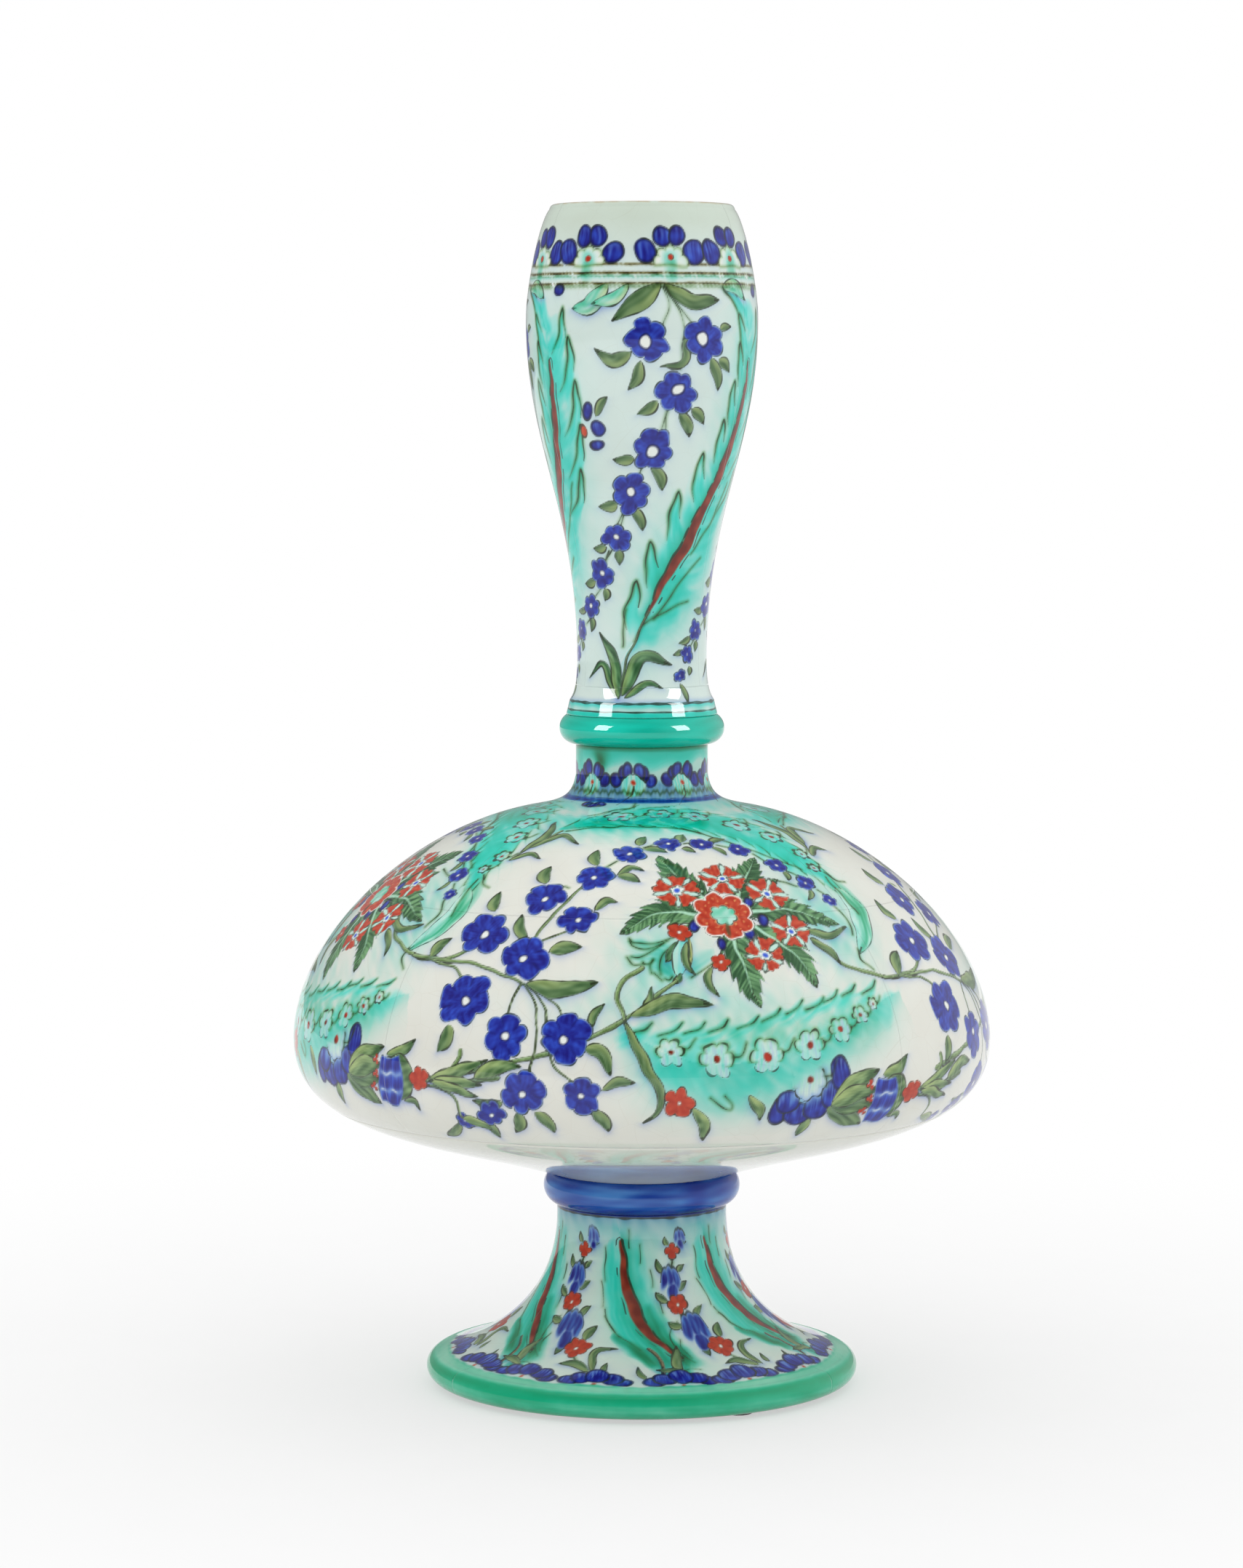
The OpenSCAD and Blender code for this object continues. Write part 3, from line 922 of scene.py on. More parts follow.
@dataclass(frozen=True)
class DomeOrnament:
    """Four sprays, rosettes and feathered leaves round the body, some a little out of their even places."""

    even: tuple[Spot, ...] = ((0.0, 0.0),) * 4
    sprays: tuple[Spot, ...] = ((0.0, 0.0), (0.6, -10.0), (-0.5, -4.0), (0.4, 3.0))
    rosettes: tuple[Spot, ...] = ((0.0, 0.0), (0.0, 2.0), (0.0, -2.0), (0.0, 0.0))
    scrolls: tuple[Spot, ...] = ((0.0, 0.0), (1.0, 2.0), (-1.0, 3.0), (5.0, 8.0))

    def paint(self, canvas: Canvas) -> None:
        """Paints washes, then stalks, then heads, so that no copy's wash lies on its neighbour's flowers."""
        for layer, nudges in (
            (self.washes, self.even), (self.stalks, self.even), (self.spray, self.sprays),
            (self.rosette, self.rosettes), (self.belly, self.scrolls), (self.thistle, self.scrolls),
        ):
            for _ in canvas.copies(nudges):
                layer(canvas)

    def washes(self, canvas: Canvas) -> None:
        """The two turquoise leaves with their florets, and the feathery tuft under the rosette."""
        Blade(
            [(-31, 133), (-18, 144), (-5, 149), (9, 151), (23, 147), (35, 137), (42.4, 124.5), (45.6, 110.5),
             (46.8, 98), (47.8, 88), (48.4, 80)],
            [1, 9, 13, 13, 14, 12, 10, 8, 6, 4, 1],
            [1, 7, 12, 14, 15, 15, 14, 12, 8, 4, 1],
            13, 0.26, 0.95, core=0.4,
        ).paint(canvas)
        strew(canvas, Wash, (
            (24, 137, (13, 6), 0.55), (31, 126, (7, 8), 0.5), (36.5, 115, (5, 9), 0.5),
            (41, 104, (4, 8), 0.5), (6, 142, (32, 6), 0.75), (-16, 139, (14, 6), 0.5), (8, 158, (22, 5), 0.4),
        ), tone=Tone.TURQUOISE)
        Leaf(
            [(48, 86), (49.2, 73), (46.4, 61), (42.4, 51)], 10.5,
            light=Tone.PALE, dark=Tone.MINT, warm=0.1, bleed=0.1, half=0.8 * HAIR,
        ).paint(canvas)
        Flame([(48.2, 92), (50, 76), (47.4, 61), (43, 52)], 9.0, 0.9, Tone.JADE, 0.0, 2.6).paint(canvas)
        strew(canvas, Thread, zip([
            [(42.6, 53), (42.2, 48), (43.8, 43)], [(49, 95), (50.6, 89.5), (53, 87.7)],
            [(-15, 137), (-11, 136.4), (-8, 138)], [(-1, 139), (2, 137.2), (5, 138)],
            [(15, 135), (19, 131), (20.4, 129.6)], [(48.2, 92), (48, 82), (48.4, 70)],
            [(-28, 131), (-20, 135), (-10, 136.7), (0, 137.4), (10, 136), (20, 131)],
            [(20, 131), (28, 120), (36, 109), (43, 98)],
            [(-27, 150), (-20, 156.5), (-12, 160), (-7, 161.5), (-5, 165)],
        ]))
        Blade(
            [(-3, 24), (4, 13), (12, 9), (21, 12), (30, 18), (38, 25), (44, 30.5), (48, 33)],
            [2, 10, 14, 13, 11, 8, 5, 0],
            [3, 17, 21, 19, 13, 11, 7, 0],
            12, 0.05, 0.4, drawn=False, core=0.15,
        ).paint(canvas)
        for turn, rise in (
            (1.4, 25.2), (6, 25.4), (9.9, 25.8), (13.8, 26.2), (18.6, 27.2), (22.8, 29.6), (27.2, 32.2),
            (31, 33.4), (34.4, 36), (38.4, 37.4), (43, 38.2),
        ):
            tooth = [(turn - 6.0, rise - 8.0), (turn - 2.4, rise - 5.0), (turn, rise)]
            Flame(tooth, 6.4, 0.3, half=0.0, soft=2.2).paint(canvas)
            Thread([(turn, rise), (turn - 1.2, rise - 2.9), (turn - 3.6, rise - 4.8)], 0.24).paint(canvas)
        strew(canvas, Wash, (
            (8, 32, (46, 10), 0.25), (14, 2, (26, 12), 0.3), (36, 22, (12, 8), 0.3, Tone.JADE),
            (20, 20, (30, 6), 0.3, Tone.JADE), (3, 54, (16, 16), 0.38), (36, 78, (15, 20), 0.2),
            (40, 62, (16, 20), 0.3), (-36, 132, (9, 12), 0.3), (-6, 130, (34, 9), 0.22),
            (6, 146, (30, 7), 0.2, Tone.TURQUOISE),
        ))
        strew(canvas, Flame, (
            ([(5.9, 45), (4, 57), (-2.4, 61.6)], 9), ([(5.9, 45), (2.8, 53), (-2.2, 54)], 8),
            ([(5.8, 44.6), (3, 48), (0.4, 50.8)], 7), ([(6.2, 44.6), (9.5, 51), (12.4, 57)], 8),
        ), depth=0.5, tone=Tone.AQUA, half=0.0, soft=3.0)
        strew(canvas, Thread, zip([
            [(-2.5, 63.4), (-1.4, 60.6), (1.5, 61), (5.4, 63.3)],
            [(-2.4, 62), (-1.6, 58.8), (0.4, 57.9), (4.4, 61.8)],
            [(-2.2, 54.2), (-1, 53.9), (0.8, 55.9), (3.6, 60.4)], [(-3, 54), (-2, 50.6), (-0.3, 50.6)],
            [(-0.4, 51.8), (0, 50.8), (0.9, 50.8), (1.7, 52.6)], [(1.7, 52.6), (1.1, 50), (1.5, 46.5)],
            [(2, 46.4), (2.6, 44.6), (3, 43.4)], [(3.6, 44.2), (4.2, 43.8), (4.8, 45.4)],
            [(5.6, 59.6), (3.7, 55), (2.9, 50.6), (3, 46)], [(12.6, 52), (10.4, 47.6), (8.2, 44.6)],
        ]), half=0.24)
        Leaf([(6.6, 61.4), (5.6, 57), (4, 52)], 4.2, light=Tone.DEEP_LIGHT, dark=Tone.DEEP).paint(canvas)
        Leaf(
            [(5.9, 45), (6.8, 55.5), (8.1, 66)], 6.6, light=Tone.MINT, dark=Tone.AQUA, warm=0.1, bleed=0.2
        ).paint(canvas)
        Stem([(8.3, 64.5), (8.7, 57), (8, 50)], 0.6, 0.9, Tone.YELLOW).paint(canvas)
        Leaf([(4.8, 42.6), (6, 44.4), (6.4, 47)], 3.0, light=Tone.DEEP_LIGHT, dark=Tone.DEEP).paint(canvas)
        strew(canvas, Floret, (
            (-11, 150, 13), (9, 154, 12), (26, 149, 12), (38.9, 136, 11.5), (45.8, 122.5, 9.5),
            (48.7, 108, 7.5), (47.4, 98.6, 5.4),
        ), half=1.7 * HAIR)
        strew(canvas, Floret, (
            (4.2, 13.6, 12), (11.4, 10.2, 14.5), (19.5, 11.1, 14.5), (27, 14.3, 13), (33, 19.6, 11),
            (37.4, 24.7, 8), (40.9, 29, 5.5),
        ))
        Leaf([(-3, 26.4), (0, 10), (2.5, -2), (2.2, -11), (0, -16)], 4.0).paint(canvas)

    def stalks(self, canvas: Canvas) -> None:
        """The long stalk behind the flowers, with its fork, and the sprig at the root of the upper leaf."""
        strew(canvas, Stem, (
            ([(-36, -1), (-27, 4), (-15, 12), (-8.5, 19), (-2.8, 27), (1, 34.8), (5.4, 43.4)], 1.3, 1.0),
            ([(-3, 27), (-4.3, 35.5), (-3.2, 43), (-0.4, 48.8)], 0.9, 1.4),
        ))
        strew(canvas, Leaf, (
            ([(-0.2, 33), (1.2, 36), (1.5, 40.4)], 2.4), ([(-2, 28), (4.7, 34.2), (11.4, 32.6)], 7),
        ))
        Stem([(-37.4, 106), (-35, 116), (-30, 131)], 0.6, 0.8).paint(canvas)
        strew(canvas, Leaf, (
            ([(-36.4, 112), (-34, 126), (-37.6, 140)], 4), ([(-35, 115), (-28, 127), (-20, 120)], 3.6),
            ([(-37.4, 106), (-33, 110.6), (-28.6, 108)], 3),
        ))

    def spray(self, canvas: Canvas) -> None:
        """The arching spray of blue flowers with its leaves and thin stalks."""
        strew(canvas, Stem, (
            ([(-57, 68), (-53, 57), (-47, 51), (-41, 48.5), (-36, 51), (-32.5, 56)], 1.2, 1.0),
            ([(-45, 49.5), (-36, 49), (-29, 47.5), (-24, 44), (-21, 41)], 1.0, 0.8),
            ([(-41, 48.5), (-35, 46.5), (-32.5, 42)], 0.8, 0.6),
            ([(-14, 90), (-17, 80), (-20, 66), (-21, 60)], 0.7, 0.7),
            ([(-14.5, 66), (-17.5, 63.5), (-20, 60)], 0.5, 0.5),
            ([(-21, 41), (-17, 37), (-14, 31), (-13, 26)], 0.5, 0.4),
            ([(-21, 41), (-22, 33), (-22, 25)], 0.5, 0.4),
            ([(-20.5, 41), (-17.5, 30), (-17, 15), (-18, 2)], 0.5, 0.4),
            ([(-20, 41), (-16, 30), (-14.5, 10), (-10.5, 1)], 0.5, 0.4),
        ))
        strew(canvas, Thread, zip([
            [(-7, 108), (-9.5, 104)], [(0.5, 118), (3, 120)], [(13, 121), (15, 121)], [(23, 119), (26, 117)],
            [(32, 111), (34, 106)], [(38, 98), (39.5, 95)], [(42, 85), (43, 82)], [(-17, 90), (-18, 91)],
            [(43.3, 75), (44.5, 68), (43, 60)], [(33, 92), (37, 89)],
        ]))
        strew(canvas, Leaf, (
            ([(-31.5, 74.5), (-33, 85.8)], 5), ([(-23, 92), (-24.2, 103)], 5.4),
            ([(-12, 105), (-13, 115.8)], 5), ([(-1, 119.5), (1, 127)], 4.4), ([(12, 122.5), (14, 129)], 5),
            ([(21, 121.5), (27, 124)], 3.6),
            ([(0.5, 117), (7, 114.5)], 3.6), ([(12, 117), (15, 114.6)], 3), ([(21, 117.5), (24, 111)], 2.6),
            ([(-6, 98.5), (-3, 103.5), (0, 101)], 3.8), ([(-6, 98), (-0.8, 94.2)], 4.4),
            ([(-10, 78), (-8, 83), (-5.5, 82.5)], 4), ([(-22.5, 61.5), (-25, 73.5)], 4.6),
            ([(-17, 55), (-11.5, 58.5)], 6), ([(-41, 49.5), (-38.2, 59.5)], 5.4),
            ([(-20, 41.5), (-14, 38.6), (-7.8, 42.4)], 7.5), ([(-32.5, 21), (-34, 10.5)], 5.6),
            ([(-8.5, 23), (-6.3, 33.5)], 3.4), ([(-9, 15), (-6.4, 13), (-5.2, 4.5)], 6),
            ([(37, 98), (36, 92)], 3), ([(40, 86), (38, 80)], 2.4), ([(-6.2, -1.7), (-1.5, 1.7)], 4.4),
            ([(-8, -10), (-5.6, -20)], 5.2),
            ([(-17, -12), (-14.5, -22)], 5.4), ([(-20, -12), (-21, -23)], 5),
            ([(-26, -18), (-24.6, -27)], 4.6), ([(-31, -20), (-35.5, -29)], 4.4),
            ([(-22.5, -8), (-27.5, -8.5)], 4),
        ))
        strew(canvas, Blossom, (
            (43.3, 78.8, 6.5), (40.2, 90, 9.7), (36.1, 102.3, 9.4), (28.7, 114.8, 9.4), (18.3, 120.3, 9.8),
            (7.8, 121.2, 11.2), (-3.6, 113.2, 13.4), (-11.4, 96.8, 16), (-21.6, 83.3, 18), (-13.1, 72.3, 16),
            (-31.3, 63.3, 22), (-21.6, 52.6, 21), (-30.7, 32.3, 24), (-22.1, 18, 20), (-12.3, 18.8, 21.5),
            (-18.7, -3.9, 19), (-9.4, -4.2, 16), (-24.6, -13.9, 12.5), (-29.8, -18.3, 8.5),
        ))

    def rosette(self, canvas: Canvas) -> None:
        """The red rosette with toothed leaves behind it and small red flowers round it."""
        strew(canvas, ToothedLeaf, (
            ([(14, 82), (4.4, 111.7)], 17), ([(20, 82), (31.7, 108)], 17),
            ([(13, 75), (3, 76), (-4.3, 65.5)], 16),
            ([(21, 75), (31, 75.5), (41.3, 65.7)], 16), ([(17, 68), (17.6, 50), (19.2, 30.7)], 17),
            ([(22, 68), (28.5, 52), (30.5, 37.8)], 16), ([(13, 88), (6, 99)], 9), ([(24, 84), (33, 93)], 9),
        ), teeth=6)
        strew(canvas, Leaf, (
            ([(31, 66), (37, 61), (42.6, 64)], 3.6), ([(12, 49), (11, 42), (12.5, 36)], 3.4),
            ([(33, 60), (36, 54), (37, 47)], 3.4), ([(8, 61), (7.4, 52), (9, 46)], 3),
        ))
        for turn, rise, wide in (
            (22.9, 81, 4), (24.4, 70.8, 4.6), (10, 69.5, 4.6), (20.4, 64.5, 4.4), (14.7, 59.6, 3.6)
        ):
            PetalBunch(turn, rise, ((0.0, 0.0, wide / 2, 0.7 * wide),)).paint(canvas)
        strew(canvas, HeartFlower, (
            (19.2, 95.2, 18), (7.7, 89, 18.5), (28.4, 85.2, 17.5), (29.5, 64.6, 16.5), (22.4, 53.8, 16.5),
        ))
        strew(canvas, RedFlower, ((7, 66.1, 9.8), (13.6, 51.4, 8.4)), petals=5)
        for w in canvas.windows(16.5, 74.4, 18.0):
            edge, rho, _, _ = petalled(w.u, w.v, 12.2, 8, 0.2, 0.3)
            edge = edge + 0.4 * w.hand
            w.shape(edge - 0.9, Tone.PALE, Tone.PALE, np.ones(rho.shape), 0.7 * HAIR)
            w.brush(edge, Tone.RED_LIGHT, Tone.RED, ripple(w.u, w.v, 4.0, 31))
            speck = np.clip(ripple(w.u, w.v, 2.2, 32) - 0.7, 0.0, 1.0)
            w.over(Tone.ORANGE.rgb, 0.9 * speck * spread(edge + 1.0))
            centre, _, _, _ = petalled(w.u, w.v, 5.6, 7, 0.5, 0.34)
            w.over(Tone.BUFF.rgb, 0.8 * spread(centre - 0.5))
            w.shape(centre, Tone.MINT, Tone.JADE, 0.5 + 0.4 * ripple(w.u, w.v, 7.0, 33), 0.8 * HAIR)
            drip = np.hypot(w.u / 0.9, (w.v + 7.6) / 3.4) - 1.0
            w.over(Tone.DEEP.rgb, 0.6 * spread(drip, 0.8))

    def belly(self, canvas: Canvas) -> None:
        """The scroll along the belly: half rosette, red flower, stalks and their leaves."""
        strew(canvas, Stem, (
            ([(49.5, -9.2), (55, -9.4), (62, -6)], 1.1, 1.5),
            ([(50, -8.8), (53.6, -4.8), (55.2, 0), (55.2, 3.6)], 0.9, 1.3),
            ([(50, -11.8), (52.6, -13.1), (54.5, -17.1), (54.8, -24.5)], 0.9, 0.6),
        ))
        strew(canvas, Leaf, (
            ([(50, -8.6), (54.5, -5.4), (60, 0.4)], 5), ([(50.4, -9.4), (55, -9), (59.4, -9.8)], 4.4),
            ([(50.2, -10.2), (54.6, -12), (58.6, -15)], 4), ([(58, -7), (66, -2)], 6),
            ([(55, -25), (60, -31)], 5),
            ([(26.6, -16), (26.8, -20), (26.2, -26.5)], 4.4), ([(7.3, -9), (9.6, -16), (9.7, -26)], 4.6),
            ([(44, -20), (46, -19.6), (46.9, -23)], 2.8), ([(16.5, -5), (18.5, -11), (18.8, -16)], 4),
        ), light=Tone.OLIVE_LIGHT)
        Thread([(10.5, -5), (12.4, -9.4), (13.8, -10.4), (13.9, -8), (12.6, -4.6)]).paint(canvas)
        RedFlower(5.5, -6.7, 13, 5, 0.1).paint(canvas)
        PetalBunch(27.0, -6.0, (
            (-13.4, -6.0, 4.2, 6.4), (-5.3, -7.8, 6.0, 5.2), (-10.4, -2.2, 5.2, 5.0), (3.2, -5.6, 6.0, 5.8),
            (10.2, -0.4, 5.6, 6.4), (13.6, 8.2, 4.6, 6.8),
        ), 0.55).paint(canvas)
        Floret(26.4, 0.2, 16.0, 9, 0.3, 0.1).paint(canvas)

    def thistle(self, canvas: Canvas) -> None:
        """A thistle that lies on its side: olive sepals, a blue head in three swellings and a red flower."""
        Leaf([(40.8, -0.9), (44, 1.2), (46.5, 6.2)], 5.0, light=Tone.OLIVE_LIGHT).paint(canvas)
        for w in canvas.windows(43.6, -9.8, 16.0):
            cup = oval(w.u, w.v, (0.0, 0.0), (7.2, 9.2))
            w.halo(cup, 0.6, 1.6)
            w.clear(spread(cup))
            w.fill(cup, Tone.OLIVE_LIGHT, Tone.LEAF, 0.4 + 0.4 * ripple(0.5 * w.u, w.v, 4.0, 92))
            w.line(cup, HAIR)
        strew(canvas, Leaf, (
            ([(31, -11), (34.5, -3.5), (39.8, 1.6)], 8.5), ([(30.4, -12.6), (34.5, -17), (38.3, -22.8)], 9),
            ([(31, -11.5), (36, -12), (39.6, -11.6)], 8), ([(31, -11), (35.5, -7), (39.6, -5.6)], 8),
        ), light=Tone.OLIVE_LIGHT)
        strew(canvas, RedFlower, ((38.2, -3.9), (38.2, -9.7), (37.6, -15.2)), width=4.4, petals=3, heart=0.0)
        for w in canvas.windows(41.6, -12.0, 17.0):
            leaning = w.u - 0.22 * np.minimum(w.v, 0.0)
            barrel = np.abs(leaning) - 7.2 * np.sqrt(np.clip(1.0 - (w.v / 14.0) ** 2, 0.05, 1.0))
            head = np.maximum(barrel, np.abs(w.v + 0.6 * np.cos(0.5 * w.u)) - 10.0)
            w.halo(head, 0.5, 1.3)
            grain = ripple(1.8 * w.u, 0.3 * w.v, 3.0, 91) + 0.4 * np.sin(0.9 * w.v)
            w.brush(head, Tone.COBALT_LIGHT, Tone.COBALT, 0.8 * grain, Tone.SKY)
            for rise in (3.2, -3.8):
                scallop = w.v - rise - 0.4 * np.cos(1.1 * w.u)
                worn = spread(head + 1.2) * spread(-w.hand, 1.0)
                w.over(Tone.SKY.rgb, 0.7 * hump(scallop, 1.3) * spread(head + 0.6))
                w.over(Tone.PALE.rgb, 0.7 * hump(scallop, 0.5) * worn)
            w.line(head, 0.5 * HAIR)
        RedFlower(47.8, -9.2, 10.6, 5, 0.0).paint(canvas)


@dataclass(frozen=True)
class CollarOrnament:
    """Border and washes of the collar between the dome and the green bead."""

    foot: float = 148.75
    centres: tuple[float, ...] = (-88, -48, -8, 36.5, 76, 116, 156, 198, 238)

    def paint(self, canvas: Canvas) -> None:
        """Washes the bands by rise, then paints the border's petals and half flowers."""
        w = canvas.belt(self.foot, self.foot + 43.0)
        rise = w.v - self.foot
        swell = ripple(w.u, 0.0 * w.v, 16.0, 41)
        run = ripple(1.6 * w.u, 0.1 * w.v, 4.0, 42)
        w.stain(Tone.AQUA, 0.25 * spread(10.0 - rise, 8.0))
        w.stain(Tone.SKY, (0.85 + 0.2 * run) * spread(rise - 27.5, 2.5) * spread(19.0 - rise, 3.0))
        w.stain(Tone.SKY, 0.5 * spread(rise - 17.5, 1.0) * fading(17.5 - rise, 2.0))
        w.stain(Tone.BLUE_LIGHT, spread(16.9 - rise, 0.8) * spread(rise - 19.8, 0.8) * (1.0 + 0.2 * run))
        w.stain(Tone.BLUE_BEAD, 0.5 * hump(rise - 18.2, 0.8) * (1.0 + 0.4 * w.hand))
        w.line(np.where(w.hand > -0.7, rise - 19.8, FAR), 0.6 * HAIR)
        w.stain(Tone.TURQUOISE, 0.75 * spread(36.8 + 1.4 * swell - rise, 5.5))
        w.stain(Tone.SEA, 0.8 * spread(41.0 - rise, 2.0))
        strew(canvas, Wash, (
            (-39, self.foot + 38.0, (3.4, 4.6), 1.0, Tone.SEA),
            (110, self.foot + 38.5, (3.0, 4.0), 0.8, Tone.SEA),
            (-72, self.foot + 36.0, (7.0, 8.0), 0.6, Tone.TURQUOISE),
        ))
        PetalBunch(
            -35, self.foot + 14.6, ((-3.2, 0.2, 2.6, 1.9), (2.6, 0.2, 2.6, 1.9), (0.0, -0.9, 3.0, 1.6)), 0.9
        ).paint(canvas)
        for turn in self.centres:
            PetalBunch(turn, self.foot + 27.0, (
                (-7.2, 1.4, 2.5, 2.9), (7.2, 1.2, 2.5, 2.8), (-4.4, 4.4, 1.9, 3.0), (-2.4, 5.4, 2.2, 3.5),
                (4.6, 4.4, 1.9, 2.9), (2.8, 5.2, 2.2, 3.3),
            ), 0.3).paint(canvas)
            for v in canvas.windows(turn, self.foot + 24.0, 9.0):
                scallop = 0.5 * np.abs(np.sin(1.1 * v.u))
                cup = oval(v.u, v.v - scallop, (0.0, 1.4), (5.0, 4.8))
                stripe = ripple(2.4 * v.u, 0.1 * v.v, 3.0, int(abs(turn)))
                v.ink[cup < 0.0] = FAR
                v.fill(cup, Tone.MINT, Tone.AQUA, 0.5 + 0.5 * stripe, 1.0)
                low = np.clip(0.5 * stripe - v.v / 4.0 + 0.2, 0.0, 1.0)
                v.stain(Tone.LEAF_LIGHT, 0.8 * spread(cup, 1.0) * low)
                v.line(np.where(v.v > 3.4, cup, FAR), HAIR)
                v.line(np.where(v.v < 2.6, v.u - 0.3, FAR) + np.maximum(-2.0 - v.v, 0.0), 0.8 * HAIR)
                v.shape(np.hypot(v.u, v.v - 3.0) - 0.95, Tone.RED_LIGHT, Tone.RED, 0.3 + 0.3 * v.hand, 0.0)
        w = canvas.belt(self.foot + 19.0, self.foot + 28.0)
        wave = (0.6 * np.sin(1.4 * w.u) + 0.4 * np.sin(3.1 * w.u)) * (1.0 + 0.3 * w.hand)
        wavy = w.v - self.foot - 23.0 - wave
        w.stain(Tone.LEAF_LIGHT, 0.9 * hump(wavy, 0.9))
        w.line(np.where(w.hand > 0.2, wavy, FAR), 0.4 * HAIR)


